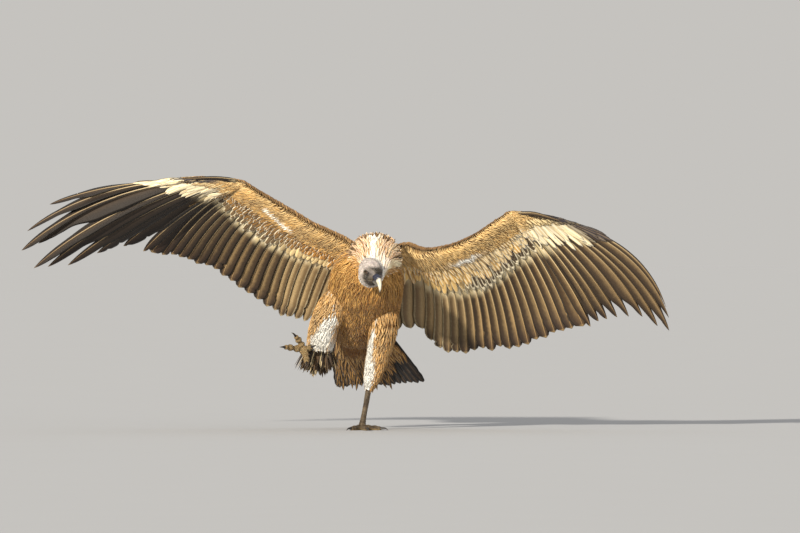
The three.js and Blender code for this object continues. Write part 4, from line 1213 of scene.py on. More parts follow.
# The layers of the ruff: face, how far behind it, where roots and tips lie, count, half width.
RUFF_LAYERS = [
    (1, 0, -0.12, 0.46, 90, 4.4), (1, 2, 0.06, 0.68, 100, 4.8), (1, 4, 0.22, 0.86, 110, 5.2),
    (1, 6, 0.38, 0.99, 116, 5.4), (1, 11, 0.5, 1.03, 76, 5.2), (-1, 0, 0.1, 0.7, 80, 5.4),
    (-1, -2, 0.35, 1.0, 96, 5.4), (1, 22, 0.3, 0.97, 60, 6.4), (-1, -12, 0.3, 0.97, 80, 6.4),
    (-1, 4, -0.16, 0.42, 56, 7.0),
]
RUFF_CREST, RUFF_FRINGE = 0, 4


def ruff_coat():
    """Lanceolate feathers that radiate from behind the head. In front they lie along the funnel in
    layers, cream and golden in streaks with a white crest; its lower part is golden like the
    breast, and a dark fringe stands behind the rim. The back is cream and tawny."""
    batches = []
    for index, (face, behind, root, tip, count, half) in enumerate(RUFF_LAYERS):
        v = (np.arange(count) + chance.uniform(-0.4, 0.4, count)) / count * TURN
        reach = (tip - root) * np.hypot(RUFF_RADIUS - RUFF_THROAT, RUFF_REACH if face > 0 else 20)
        reach = reach * (0.82 + 0.24 * chance.uniform(size=count))
        lift = chance.uniform(1, 4, count)
        start = root + chance.uniform(-0.09, 0.09, count)
        drift = chance.normal(0, 0.1, count)
        line, up = lay(RuffSide(face, behind), start, v, reach, 9, 2.0, lift, drift, 1.2)
        width = widths(lambda t: lanceolate(t, 0.8), 9, half, count)
        inks = ruff_inks(v, index, count, face)
        roots = np.stack((v / TURN, np.full(count, (index + 0.5) / len(RUFF_LAYERS))), axis=-1)
        shown = look(count, *inks, 0.2, 0.12)
        roll = chance.normal(0, 0.07, count)
        batches.append(vanes(line, up, width, shown, roots, 5, thick=0.5, droop=0.1, roll=roll))
    coat("ruff_coat", [*batches, scruff()], RUFF_FEATHER, "pale_feathers", "ruff")


def ruff_inks(v, index, count, face):
    """Web, streak and rim colours of a layer of ruff feathers at the angles v."""
    turned = lambda middle: np.angle(np.exp(1j * (v - middle)))
    ring = np.stack((np.cos(v), np.sin(v), 0 * v), axis=-1)
    golden = uneven(0.5, 0.75, ring, 0.16, 40, 0.2)
    web = blend_ink(ink(218, 186, 130), ink(184, 130, 66), golden)
    crest = bell(turned(TURN * 0.262), 0, 0.2)
    web = blend_ink(web, WHITE, np.clip(crest * 1.2 + 0.5 * (index == RUFF_CREST), 0, 1))
    if face < 0:
        web = blend_ink(web, TAWNY, 0.5)
    streak, rim = blend_ink(web, WHITE, 0.6), blend_ink(web, WHITE, 0.75)
    if index == RUFF_FRINGE:
        web = streak = rim = blend_ink(ink(74, 58, 44), ink(150, 112, 64), chance.uniform(0, 1, count))
    if face > 0:
        below = smooth(-0.02, 0.12, -np.sin(v + 0.04))
        breast = blend_ink(GOLD, RUST, np.clip(0.4 + chance.normal(0, 0.3, count), 0, 1))
        flash = bell(turned(-0.3), 0, 0.2)
        breast = blend_ink(breast, ink(252, 240, 206), np.clip(flash * 1.6, 0, 1))
        web, rim = blend_ink(web, breast, below), blend_ink(rim, blend_ink(breast, BUFF, 0.4), below)
        streak = blend_ink(streak, blend_ink(breast, CREAM, 0.6), below)
    return web, streak, rim


def scruff():
    """Longer feathers that run back from behind the ruff, down over the root of the neck."""
    neck = Tube(NECK_SPINE, NECK_RADIUS, NECK_RADIUS)
    u, v, roots = rows(neck, (-0.1, 0.32), (0.0, TURN), 8.0, 6.0)
    count = len(u)
    length = 58 * (0.8 + 0.4 * chance.uniform(size=count))
    lift = chance.uniform(0, 4, count) - 22 * (1 - smooth(-0.1, 0.2, u))
    line, up = lay(neck, u, v, -length, 7, 3.0, lift, chance.normal(0, 0.12, count))
    half = widths(lambda t: lanceolate(t, 0.8), 7, 5.2, count)
    tone = np.clip(0.5 + chance.normal(0, 0.3, count), 0, 1)
    web = blend_ink(ink(206, 166, 110), ink(140, 98, 54), tone)
    shown = look(count, web, blend_ink(web, CREAM, 0.5), blend_ink(web, CREAM, 0.6), 0.2, 0.14)
    roll = chance.normal(0, 0.08, count)
    return vanes(line, up, half, shown, roots * (1, 0.1), 5, thick=0.5, droop=0.14, roll=roll)


def neck_down():
    """Short white and grey down all round the neck, thicker towards the ruff."""
    neck = Tube(NECK_SPINE, NECK_RADIUS, NECK_RADIUS)
    u, v, roots = rows(neck, (0.06, 0.97), (0.0, TURN), 4.4, 3.8)
    place = neck.point(u, v)
    ahead, _, _ = head_coordinates(place)
    fade = 1 - smooth(0.55, 0.95, u)
    length = lerp(8, 15, fade) * (0.75 + 0.5 * chance.uniform(size=len(u)))
    keep = ahead < -16 + chance.normal(0, 4, len(u))
    u, v, roots, fade, length, place = (a[keep] for a in (u, v, roots, fade, length, place))
    count = len(u)
    lift, drift = chance.uniform(-1.5, 1.5, count), chance.normal(0, 0.2, count)
    line, up = lay(neck, u, v, -length, 5, NECK_COAT * 0.8, lift, drift)
    half = widths(lanceolate, 5, 1.7, count)
    web = blend_ink(ink(176, 168, 172), WHITE, np.clip(0.35 + 0.5 * fade + 0.3 * mottle(place, 22, 50), 0, 1))
    shown = look(count, web, WHITE, WHITE, 0.1, 0.25)
    return vanes(line, up, half, shown, roots * (1, 0.5), thick=0.6, droop=0.2)


def head_down(points, normals):
    """Fine flat down over the crown, cheeks and throat, thinning out towards the bare face."""
    ahead, sideways, up = head_coordinates(points)
    eye = np.hypot(ahead - EYE_PLACE[0], up - EYE_PLACE[2])
    face = smooth(14, 34, ahead) * (1 - smooth(16, 30, up))
    grown = (ahead > -34) & (ahead < 44) & (eye > 11) & (chance.uniform(size=len(points)) > 0.42 + 0.5 * face)
    picked = chance.permutation(np.flatnonzero(grown))[:HEAD_TUFTS]
    root, n = points[picked], normals[picked]
    count = len(picked)
    flow = unit(-FORWARD + chance.normal(0, 0.22, (count, 3)) - CROWN * 0.15)
    flow = unit(flow - n * along(flow, n))
    length = (5.2 * (0.7 + 0.6 * chance.uniform(size=count)))[:, None, None]
    t = np.linspace(0, 1, 4)[None, :, None]
    line = root[:, None] + flow[:, None] * length * t + n[:, None] * (0.9 * t - 0.5)
    half = lanceolate(np.linspace(0, 1, 4)) * 0.62 * np.ones((count, 1))
    ahead, sideways, up = ahead[picked], sideways[picked], up[picked]
    patches = 0.5 + 0.4 * mottle(root, 14, 60)
    tone = np.clip(patches - 0.5 * smooth(5, 32, ahead) + 0.3 * smooth(10, 32, up), 0, 1)
    web = blend_ink(ink(70, 62, 50), ink(196, 182, 172), tone)
    place = np.stack((np.arctan2(sideways, up) / TURN + 0.5, 0.55 + 0.44 * (ahead + 44) / 95), axis=-1)
    shown = look(count, web, web, blend_ink(web, WHITE, 0.4), 0.1, 0.3)
    ups = np.repeat(n[:, None], 4, axis=1)
    return vanes(line, ups, half, shown, place, thick=0.3, droop=0.2, patch=0.002)


# ---------------------------------------------------------------- coat of the wings
# Stations across a flight feather, from its trailing edge over the shaft to its leading edge.
SHAFT_STATION, QUILL_CUP = 0.05, 0.1
QUILL_STATIONS = np.array((-1, -0.78, -0.5, -0.24, -SHAFT_STATION, 0, SHAFT_STATION, 0.45, 1))


def quills(line, up, inner, outer, shaft, shown, outward, where, roll=0.12):
    """Closed flight feathers along their shafts. Each section is a thin web, inner wide on the
    trailing side and outer on the other, that cups downwards at both edges and tips its trailing
    edge down by roll; a shaft stands out of it, most on the under side."""
    tangent = unit(np.gradient(line, axis=1))
    side = unit(np.cross(tangent, up))
    upper = np.cross(side, tangent)
    facing = np.sign(np.median(along(side, np.broadcast_to((outward, 0, 0), side.shape))))
    s = QUILL_STATIONS if facing > 0 else QUILL_STATIONS[::-1]
    wide = np.where(s < 0, inner[..., None], outer[..., None])
    x = np.where(abs(s) <= SHAFT_STATION, np.sign(s) * shaft[..., None], s * np.maximum(wide, 0.4))
    level = roll * x - QUILL_CUP * s**2 * wide
    web = np.clip(inner[..., None] / 4, 0.15, 0.5) * (1 - 0.6 * s**2)
    top = level + np.where(s == 0, shaft[..., None] * 0.7, web)
    under = level - np.where(s == 0, shaft[..., None] * 1.5, web)
    x, z = np.concatenate((x, x[..., -2:0:-1]), -1), np.concatenate((top, under[..., -2:0:-1]), -1)
    points = line[:, :, None] + side[:, :, None] * (x * facing)[..., None] + upper[:, :, None] * z[..., None]
    marks = np.broadcast_to(shown["marks"][:, :, None], (*points.shape[:3], 4)).copy()
    marks[..., 0] = np.arange(points.shape[2]) >= len(QUILL_STATIONS)
    return batch(points, (np.concatenate((s, s[-2:0:-1])) + 1) / 2, where, {**shown, "marks": marks})


STRIP_SHARE = 0.94
SHAFT_ROOM = 4.2  # what a web leaves bare beside the next feather's shaft
# The stretch of a primary, in shares of its length, over which its web narrows to a finger.
NOTCH = {"right": (0.6, 0.8), "left": (0.74, 0.92)}


def strips(count, low=0.0, high=1.0):
    """Corners of one upright strip of the unwrap for each long feather."""
    left = low + (high - low) * np.arange(count) / count
    wide = (high - low) / count * STRIP_SHARE
    corner = lambda x, y: np.stack((x, np.full(count, y)), axis=-1)
    return np.stack((corner(left, 0.0), corner(left + wide, 1.0)), axis=1)


def worn(count, steps, amount):
    """Ragged edges: the widths vary along each feather, most towards its tip, and a few splits
    cut in."""
    t = np.linspace(0, 1, steps)
    one = lambda low, high: chance.uniform(low, high, (count, 1))
    wobble = sum(np.sin(t * f + one(0, TURN)) for f in (9, 23, 41)) / 3
    splits = sum(bell(t, one(0.35, 0.97), 0.012) * one(0, 1) ** 3 for _ in range(3))
    return (1 + amount * wobble * smooth(0.5, 1.0, t)) * (1 - 0.5 * splits * smooth(0.7, 0.9, t))


# The web of the primaries and their colour near the shaft; the right wing lies in its own shade.
HAND_INKS = {"right": (ink(37, 29, 23), ink(64, 51, 38)), "left": (ink(68, 53, 37), ink(136, 112, 78))}


def flight_look(sheet, v, t):
    """Colours along flight feathers v at shares t of their length: creamy where the coverts end,
    brown with a tan stripe by the shaft, dark towards the tip. Tertials are paler with wide pale
    rims, and the outer primaries are blackish all along."""
    one = lambda low, high: chance.uniform(low, high, len(v))[:, None] + 0 * t
    luck, golden = one(0, 1), smooth(0.7, 1.0, one(0, 1))
    outer, broad = smooth(25.5, 30, v), 1 - smooth(4.4, 6.4, v)
    place = t * np.interp(v, np.arange(-1, QUILLS + 1), sheet.length)
    edge = COVERT_ENDS[sheet.side](v) + 12 * (luck - 0.5)
    pale = (1 - smooth(edge - 6, edge + 40, place)) * (1 - smooth(24, 27, v)) * (1 - 0.4 * broad)
    hand_web, hand_near = HAND_INKS[sheet.side]
    hand = smooth(12, 25, v)
    near_body = 1 - smooth(7, 13, v)
    web = blend_ink(blend_ink(ink(74, 57, 38), ink(50, 38, 26), luck), ink(128, 104, 70), near_body * 0.75)
    near = blend_ink(blend_ink(ink(162, 136, 94), ink(120, 98, 66), luck), ink(172, 142, 98), golden)
    near = blend_ink(near, ink(194, 168, 124), near_body)
    web, near = blend_ink(web, hand_web, hand), blend_ink(near, hand_near, hand)
    web = blend_ink(web, ink(128, 104, 74), broad * 0.6)
    web, near = blend_ink(web, CREAM, pale * 0.8), blend_ink(near, ink(250, 238, 206), pale * 0.95)
    tips = smooth(0.8, 0.97, t) * 0.8 * (1 - 0.6 * broad) * (1 - 0.5 * outer)
    web, near = blend_ink(web, ink(42, 30, 24), tips), blend_ink(near, ink(64, 46, 34), tips)
    rim = blend_ink(blend_ink(ink(176, 148, 102), ink(92, 78, 66), outer), ink(226, 208, 168), near_body)
    marks = np.stack((0 * luck, lerp(0.07, 0.26, near_body), luck, 1 - 0.4 * outer), axis=-1)
    return {"web": web, "streak": near, "rim": rim, "marks": marks}


def arm_quills(sheet):
    """Broad tertials and the secondaries. The trailing web reaches almost to the next shaft."""
    v = np.concatenate((np.arange(-0.9, 6.5, 1.4), np.arange(TERTIALS + 1.5, ARM_QUILLS, 1.0)))
    pitch = np.diff(np.concatenate(((-2.6,), v)))
    count, steps = len(v), 46
    t = np.linspace(0.2, 1.0, steps)
    reach = 1 - (chance.uniform(0, 1, count) * lerp(0.08, 0.03, smooth(5, 9, v)))[:, None] * smooth(0.5, 1, t)
    ts, vs = t * reach, v[:, None] + 0 * t
    line = sheet.line(vs, ts)
    gap = sheet.spacing(vs, ts)
    blunt = lerp(0.22, 0.11, smooth(4, 9, v))[:, None]
    end = np.clip((1 - (np.clip(t - 1 + blunt, 0, 1) / blunt) ** 2.4), 0, 1) ** 0.5
    trailing = np.maximum(sheet.spacing(vs, ts, pitch[:, None], 0) * 1.04 - SHAFT_ROOM, 3)
    inner = trailing * end * worn(count, steps, 0.05)
    outer = gap * 0.6 * end
    shaft = lerp(2.1, 0.6, t)[None] * np.ones((count, 1)) * np.clip(end, 0.3, 1)
    shown = flight_look(sheet, vs, ts)
    return quills(line, sheet.up(vs, ts), inner, outer, shaft, shown, sheet.outward, strips(count))


def hand_quills(sheet):
    """The primaries: their webs close up over the hand and part into fingers that narrow behind
    a notch."""
    v = np.arange(ARM_QUILLS, QUILLS, 1.0)
    count, steps = PRIMARIES, 64
    t = np.linspace(0.1, 1.0, steps)
    vs, ts = v[:, None] + 0 * t, t + 0 * v[:, None]
    notch = smooth(*NOTCH[sheet.side], t)
    slim = smooth(26.0, 27.5, v)[:, None]
    behind = np.where(v > ARM_QUILLS, 1.0, 0.5)[:, None]
    closed = np.clip(sheet.spacing(vs, ts, behind, 0) * 1.04 - SHAFT_ROOM * 0.4, 4, 46)
    end = np.clip((1 - (np.clip(t - 0.8, 0, 1) / 0.2) ** 1.8), 0, 1) ** 0.75
    finger = np.minimum(closed, lerp(34.0, 21.0, slim))
    inner = lerp(closed, finger, notch) * end * worn(count, steps, 0.03)
    beyond = sheet.spacing(vs, ts, 0, 1)
    leading = np.maximum(lerp(15.0, lerp(13.0, 8.5, slim), notch), (beyond - 40) * (1 - notch))
    outer = np.minimum(leading, np.maximum(beyond * 0.5, 3)) * end
    shaft = lerp(2.6, 0.6, t)[None] * np.ones((count, 1)) * np.clip(end, 0.3, 1)
    shown = flight_look(sheet, vs, ts)
    line, up = sheet.line(vs, ts), sheet.up(vs, ts)
    return quills(line, up, inner, outer, shaft, shown, sheet.outward, strips(count, 0, 0.8), 0.16)


def thumb_quills(sheet):
    """The three stiff slate feathers of the alula, folded along the leading edge of the hand."""
    count, steps = 3, 30
    t = np.linspace(0, 1, steps)
    spine = spline(WINGS[sheet.side]["alula"])(t)
    line = spine + np.arange(count)[:, None, None] * np.array((0, 2.6, -5.0))
    line = line[:, :1] + (line - line[:, :1]) * np.array((1, 0.8, 0.62))[:, None, None]
    end = np.clip(1 - t**7, 0, 1) ** 0.5 * np.clip(0.3 + t * 5, 0, 1)
    wide = np.array((9.0, 8.5, 8.0))[:, None] * end
    up = np.broadcast_to(HAND[sheet.side].upper(t), line.shape)
    shown = flight_look(sheet, np.full((count, 1), 33.0) + 0 * t, 0.7 + 0 * t + np.zeros((count, 1)))
    shaft = lerp(1.2, 0.4, t)[None] * np.ones((count, 1))
    return quills(line, up, wide, wide * 0.5, shaft, shown, sheet.outward, strips(count, 0.8, 1.0))


def tract(
    face, u, v, row_gap, gap, length, half, shape, colours, band, sink, lift, slant, columns=3, steps=7
):
    """Rows of coverts over part of a wing's face, u in millimetres and v in feathers. colours takes
    the face, the places, u and v and gives the look; band is their share of the unwrap."""
    us, vs, roots = rows(face, u, v, row_gap, gap, 0.16)
    count = len(us)
    vary = 0.88 + 0.24 * chance.uniform(size=count)
    length = length(vs) if callable(length) else length
    drift = slant + chance.normal(0, 0.06, count)
    sink = sink * (0.2 + 0.8 * smooth(4, 24, us))
    lines, ups = lay(face, us, vs, length * vary, steps, sink, lift * chance.uniform(0.5, 1.5, count), drift)
    width = shape(np.linspace(0, 1, steps)) * (half * vary)[:, None]
    shown = colours(face, face.point(us, vs), us, vs)
    roots = roots * (1, band[1] - band[0]) + (0, band[0])
    roll = chance.normal(0, 0.08, count)
    return vanes(lines, ups, width, shown, roots, columns, thick=0.7, droop=0.22, roll=roll)


LESSER_LIT, LESSER_DEEP = ink(210, 158, 80), ink(108, 70, 30)
MEDIAN_LIT, MEDIAN_DEEP = ink(240, 196, 116), ink(178, 128, 58)
# How far behind the leading edge the great coverts end, at feather v.
COVERT_ENDS = {
    "right": stops([[-1, 150], [6, 166], [10, 188], [15, 210], [19, 178], [22, 150], [25, 132]]),
    "left": stops([
        [-1, 150], [4, 168], [8, 198], [12, 222], [15, 226], [17, 208], [19, 198], [22, 186], [25, 164],
    ]),
}


def patagial(face, u, v):
    """The bright patch of white down in the fold before the elbow."""
    if face.sheet.side == "left":
        return np.clip(1.8 * bell(v, 12.6, 2.0) * bell(u, 46 + 3 * np.sin(v * 3), 9), 0, 1)
    inside = 1.8 * smooth(10.6, 11.6, v) * (1 - smooth(15.6, 16.4, v))
    return np.clip(inside * bell(u, 40 - 5.6 * (v - 11.5), 5), 0, 1)


def lesser_look(face, place, u, v):
    """Golden brown with buff shafts, darker at the edge and at the back, slate on the hand's edge, partly the
    dark of its feathers and partly painted shade.
    """
    tone = uneven(0.45, 0.45, place, 22, 70, 0.3)
    white = patagial(face, u, v)
    dark = smooth(50, 62, u + 6 * mottle(place, 12, 77)) * 0.4 + 0.3 * (1 - smooth(6, 26, u))
    web = blend_ink(blend_ink(blend_ink(LESSER_LIT, LESSER_DEEP, tone), UMBER, dark), WHITE, white)
    # slate on the hand's edge: partly the feathers' own dark, partly painted shade
    slate = smooth(26, 29, v) * (1 - smooth(14, 30, u))
    web = blend_ink(web, SLATE, slate)
    streak = blend_ink(blend_ink(blend_ink(CREAM, BUFF, 0.6), SLATE, slate), WHITE, white)
    width = 0.16 + 0.24 * chance.uniform(size=len(u))
    return look(len(u), web, streak, blend_ink(web, CREAM, 0.4), width, 0.1, smooth(4, 14, u))


def median_look(face, place, u, v):
    """Brown with pale rims under the right wing; buff, and cream in patches, under the left."""
    tone = uneven(0.4, 0.4, place, 30, 71, 0.2)
    pale = np.clip(smooth(10, 16, v) * (0.45 + 0.5 * mottle(place, 18, 78)), 0, 1)
    if face.sheet.side == "right":
        brown = blend_ink(ink(150, 112, 62), ink(84, 60, 36), tone)
        golden = blend_ink(ink(196, 140, 66), ink(140, 94, 40), tone)
        web = blend_ink(brown, golden, 1 - smooth(7, 10, v))
        return look(len(u), web, blend_ink(web, TAWNY, 0.3), blend_ink(CREAM, WHITE, 0.5), 0.2, 0.24)
    web = blend_ink(blend_ink(MEDIAN_LIT, MEDIAN_DEEP, tone), CREAM, pale * 0.6)
    rim = blend_ink(web, WHITE, 0.3 + 0.5 * pale)
    return look(len(u), web, blend_ink(CREAM, WHITE, 0.3), rim, 0.16, 0.16 + 0.14 * pale)


def great_look(face, place, u, v):
    """Dark centres with wide pale rims, paler all over near the body."""
    tone = uneven(0.5, 0.5, place, 34, 72, 0.15)
    left = face.sheet.side == "left"
    inner = 1 - smooth(9, 12.5, v)
    dark, light = (ink(24, 20, 16), ink(70, 54, 34)) if left else (ink(66, 50, 34), ink(130, 104, 68))
    near_body = blend_ink(MEDIAN_LIT, CREAM, 0.2 if left else 0.7)
    web = blend_ink(blend_ink(dark, light, tone), near_body, inner)
    rim = blend_ink(ink(248, 234, 200), blend_ink(MEDIAN_LIT, CREAM, 0.8), inner)
    return look(len(u), web, blend_ink(web, FAWN, 0.2), rim, 0.1, (0.4 if left else 0.26) - 0.14 * inner)


def hand_look(face, place, u, v):
    """Cream and buff, slate on the left hand's outermost, partly their own dark and partly painted shade."""
    tone = uneven(0.22, 0.45, place, 26, 73, 0.12)
    web = blend_ink(ink(236, 218, 176), ink(186, 150, 94), tone)
    # slate on the left hand's outermost: partly the feathers' own dark, partly painted shade
    dark = smooth(30.2, 32, v) if face.sheet.side == "left" else 0 * v
    pale = blend_ink(ink(248, 236, 206), DRAB, dark)
    return look(len(u), blend_ink(web, SLATE, dark), pale, pale, 0.2, 0.2)


def hand_median_look(face, place, u, v):
    """Buff and brown, slate towards the tip of the hand, partly their own dark and partly painted shade."""
    tone = uneven(0.5, 0.5, place, 26, 79, 0.2)
    # slate towards the hand's tip: partly the feathers' own dark, partly painted shade
    slate = smooth(28, 31, v) * (1 - smooth(20, 45, u))
    web = blend_ink(blend_ink(ink(206, 176, 122), ink(140, 104, 62), tone), SLATE, slate)
    return look(len(u), web, blend_ink(CREAM, SLATE, slate), blend_ink(web, CREAM, 0.5), 0.2, 0.14)


def back_lesser_look(face, place, u, v):
    """Fawn brown with dark shafts and buff rims."""
    tone = uneven(0.45, 0.4, place, 34, 74, 0.22)
    return look(len(u), blend_ink(ink(176, 136, 88), ink(120, 84, 48), tone), UMBER, BUFF, 0.1, 0.16)


def back_median_look(face, place, u, v):
    """Browner, with dark shafts and cream rims."""
    tone = uneven(0.4, 0.4, place, 34, 75, 0.2)
    return look(len(u), blend_ink(ink(150, 118, 80), ink(108, 76, 46), tone), UMBER, CREAM, 0.12, 0.14)


def back_great_look(face, place, u, v):
    """Dark brown in soft patches, with sooty shafts and thin buff rims."""
    tone = np.clip(0.4 + 0.4 * mottle(place, 40, 76), 0, 1)
    return look(len(u), blend_ink(ink(104, 84, 62), ink(64, 48, 36), tone), SOOT, BUFF, 0.08, 0.12)


# How much longer the outermost of the hand's great coverts are than the innermost.
HAND_COVERTS_GROW = {"right": 4.0, "left": 56.0}


def under_coverts(sheet):
    """The under side's rows, the hindmost laid first and deepest. The arm's great ones and the rows
    before them end a gap ahead of COVERT_ENDS."""
    face = SheetFace(sheet, -1)
    reach = lambda v: 94 + HAND_COVERTS_GROW[sheet.side] * smooth(24, 30, v)
    before = lambda gap, root: lambda v: np.maximum(COVERT_ENDS[sheet.side](v) - gap - root, 30)
    arm, hand = (-0.9, ARM_QUILLS + 0.3), (ARM_QUILLS - 0.8, QUILLS - 0.6)
    table = [
        # u, v, row gap, gap, length, half width, shape, look, unwrap, sink, lift, slant, columns, steps
        ((104, 120), arm, 16, 14.0, before(0, 112), 10.4, rounded, great_look, (0, 0.1), 1, 3.0, 0.05, 5, 9),
        ((74, 100), (-0.9, 3.6), 13, 12.0, 84, 9.5, rounded, median_look, (0.1, 0.14), 1, 4.5, 0.1, 5),
        ((86, 100), arm, 14, 12.5, before(36, 93), 8.8, rounded, median_look, (0.14, 0.2), 2, 3.6, 0.1, 5),
        ((68, 82), arm, 14, 11.0, before(62, 75), 7.8, rounded, median_look, (0.2, 0.28), 3, 3.6, 0.14, 5),
        ((52, 66), arm, 14, 9.5, before(86, 59), 6.8, rounded, median_look, (0.28, 0.36), 3, 3.6, 0.2),
        ((-4, 62), arm, 7.5, 5.6, 31, 4.0, lanceolate, lesser_look, (0.36, 0.66), 2.5, 2.8, 0.5),
        ((64, 88), hand, 26, 14.0, reach, 10.0, rounded, hand_look, (0.66, 0.71), 0.5, 1.6, 0.0, 5, 9),
        ((26, 48), hand, 20, 13.0, reach, 10.0, rounded, hand_look, (0.71, 0.77), 1, 2.4, 0.0, 5, 9),
        ((12, 32), hand, 11, 9.0, 52, 7.0, rounded, hand_median_look, (0.77, 0.85), 1.5, 2.6, 0.05),
        ((-4, 20), hand, 6.0, 5.2, 26, 3.8, lanceolate, lesser_look, (0.85, 1.0), 1.5, 1.8, 0.2),
    ]
    return [tract(face, *row) for row in table]


def upper_coverts(sheet):
    """The upper side's rows: brown with buff edges, darker and longer towards the flight feathers."""
    face = SheetFace(sheet, 1)
    arm, hand = (-0.9, ARM_QUILLS + 0.3), (ARM_QUILLS - 0.8, QUILLS - 0.6)
    wrist = (ARM_QUILLS - 3, QUILLS - 0.6)
    reach = lambda v: np.maximum(104, COVERT_ENDS[sheet.side](v) - 92)
    table = [
        # u, v, row gap, gap, length, half width, shape, look, unwrap, sink, lift, slant, columns, steps
        ((126, 146), arm, 20, 17.0, reach, 13.0, rounded, back_great_look, (0, 0.12), 2, 2.4, 0.05, 5, 9),
        ((74, 126), arm, 17, 14.0, 66, 10.5, rounded, back_median_look, (0.12, 0.3), 3, 3.0, 0.1, 5),
        ((-5, 76), arm, 8.2, 6.8, 34, 4.8, rounded, back_lesser_look, (0.3, 0.62), 3, 2.4, 0.3),
        ((26, 50), wrist, 12, 11.0, 132, 12.5, rounded, back_great_look, (0.62, 0.72), 1, 2.4, 0.0, 5, 9),
        ((12, 32), hand, 12, 10.0, 56, 7.5, rounded, back_median_look, (0.72, 0.82), 1.5, 2.4, 0.05),
        ((-4, 20), hand, 7.0, 6.0, 26, 4.4, rounded, back_lesser_look, (0.82, 1.0), 1.5, 1.8, 0.2),
    ]
    return [tract(face, *row) for row in table]


def make_wing(side):
    """The four coats of a wing; the flight feathers stand for its plain slabs."""
    sheet = SHEETS[side]
    nodes = lambda *parts: [f"wing_{side}_{part}" for part in parts]
    arm = [arm_quills(sheet)]
    coat(f"wing_{side}_arm_quills", arm, QUILL, "flight_feathers", *nodes("tertials", "secondaries"))
    hand = [hand_quills(sheet), thumb_quills(sheet)]
    coat(f"wing_{side}_hand_quills", hand, QUILL, "flight_feathers", *nodes("primaries", "alula"))
    coat(f"wing_{side}_under_coverts", under_coverts(sheet), COVERT, "wing_coverts")
    coat(f"wing_{side}_upper_coverts", upper_coverts(sheet), COVERT, "wing_coverts")


# ---------------------------------------------------------------- tail
def make_tail():
    """Fourteen worn feathers spread in a fan, with coverts over their roots on both faces and a
    ragged brown mass of long ones under the middle."""
    steps = 40
    t = np.linspace(0, 1, steps)
    v = (np.arange(RECTRICES) + 0.5) / RECTRICES * 2 - 1
    flat = TailSide(0)
    worn_off = chance.uniform(0, 0.08, RECTRICES)[:, None]
    us = np.broadcast_to(lerp(-0.1, 1.0, t), (RECTRICES, steps)) * (1 - worn_off)
    vs = np.broadcast_to(v[:, None], us.shape)
    line = flat.point(us, vs)
    up = np.broadcast_to(flat.upper, line.shape)
    line = line + up * (4 * (1 - abs(v)))[:, None, None]
    wide = 20 * np.clip(1 - t**7, 0, 1) ** 0.5
    luck = chance.uniform(0, 1, RECTRICES)[:, None] + 0 * t
    web = blend_ink(ink(38, 27, 18), ink(18, 14, 12), luck)
    marks = np.stack((0 * luck, 0.08 + 0 * luck, luck, 0.1 + 0 * luck), axis=-1)
    shown = {"web": web, "streak": blend_ink(ink(92, 68, 44), web, 0.2 + 0.5 * t), "marks": marks}
    shown["rim"] = blend_ink(ink(120, 96, 66), ink(96, 78, 56), luck)
    shaft = lerp(1.5, 0.5, t)[None] * np.ones((RECTRICES, 1))
    ragged = [wide * worn(RECTRICES, steps, 0.3) for _ in range(2)]
    roll = (-0.1 * np.sign(v))[:, None, None]
    fan = quills(line, up, *ragged, shaft, shown, 1.0, strips(RECTRICES), roll)
    coat("tail_quills", [fan], QUILL, "flight_feathers", "tail")
    layers = [
        # face, from u, to u, v, length, web, darker, streak
        (-1, (0.4, 0.66), (-0.98, 0.2), 92, ink(74, 54, 34), 0.7, TAWNY),
        (-1, (0.18, 0.44), (-0.98, 0.5), 90, ink(112, 80, 42), 0.6, TAWNY),
        (-1, (-0.16, 0.22), (-0.98, 0.98), 78, ink(136, 94, 44), 0.6, BUFF),
        (1, (0.18, 0.4), (-0.95, 0.95), 78, FAWN, 0.8, CREAM),
        (1, (-0.12, 0.22), (-0.95, 0.95), 60, FAWN, 0.8, CREAM),
    ]
    batches = []
    for index, (face, along_u, across, size, web, darker, streak) in enumerate(layers):
        side = TailSide(face)
        u, w, roots = rows(side, along_u, across, 18, 10.5, 0.3)
        count = len(u)
        length = size * chance.uniform(0.7, 1.15, count)
        lift, drift = 3 + 2.0 * (2 - index % 3), chance.normal(0, 0.1, count)
        lines, ups = lay(side, u, w, length, 8, 2, lift, drift, 2.0)
        width = widths(lanceolate, 8, 7.5, count)
        tone = blend_ink(web, ink(44, 33, 24), chance.uniform(0, darker, count))
        spot = roots * (0.9, 0.18) + (0.05, 0.2 * index)
        shown = look(count, tone, blend_ink(tone, streak, 0.7), blend_ink(tone, streak, 0.3), 0.16, 0.08)
        batches.append(vanes(lines, ups, width, shown, spot, 5, 0.7, 0.2, chance.normal(0, 0.12, count)))
    coat("tail_coverts", batches, COVERT, "body_feathers")


# ---------------------------------------------------------------- bill, eyes and claws
def horn_piece(name, grid, along_values, dark, finish, slot, node, painted_shade=0.0):
    """A closed piece of horn from its rings, with the place along it kept for the finish, and how much
    painted shade darkens it.
    """
    marks = np.stack((along_values, dark, painted_shade + 0 * dark), axis=-1).reshape(-1, 3)
    around, lengthwise = (np.linspace(0.01, 0.99, grid.shape[k]) for k in (1, 0))
    uv = np.stack(np.meshgrid(around, lengthwise), -1)
    piece = put_mesh(name, *tube_shell(grid), {"OFBake": uv.reshape(-1, 2)}, {"along": marks})
    finished(piece, finish, slot, node)


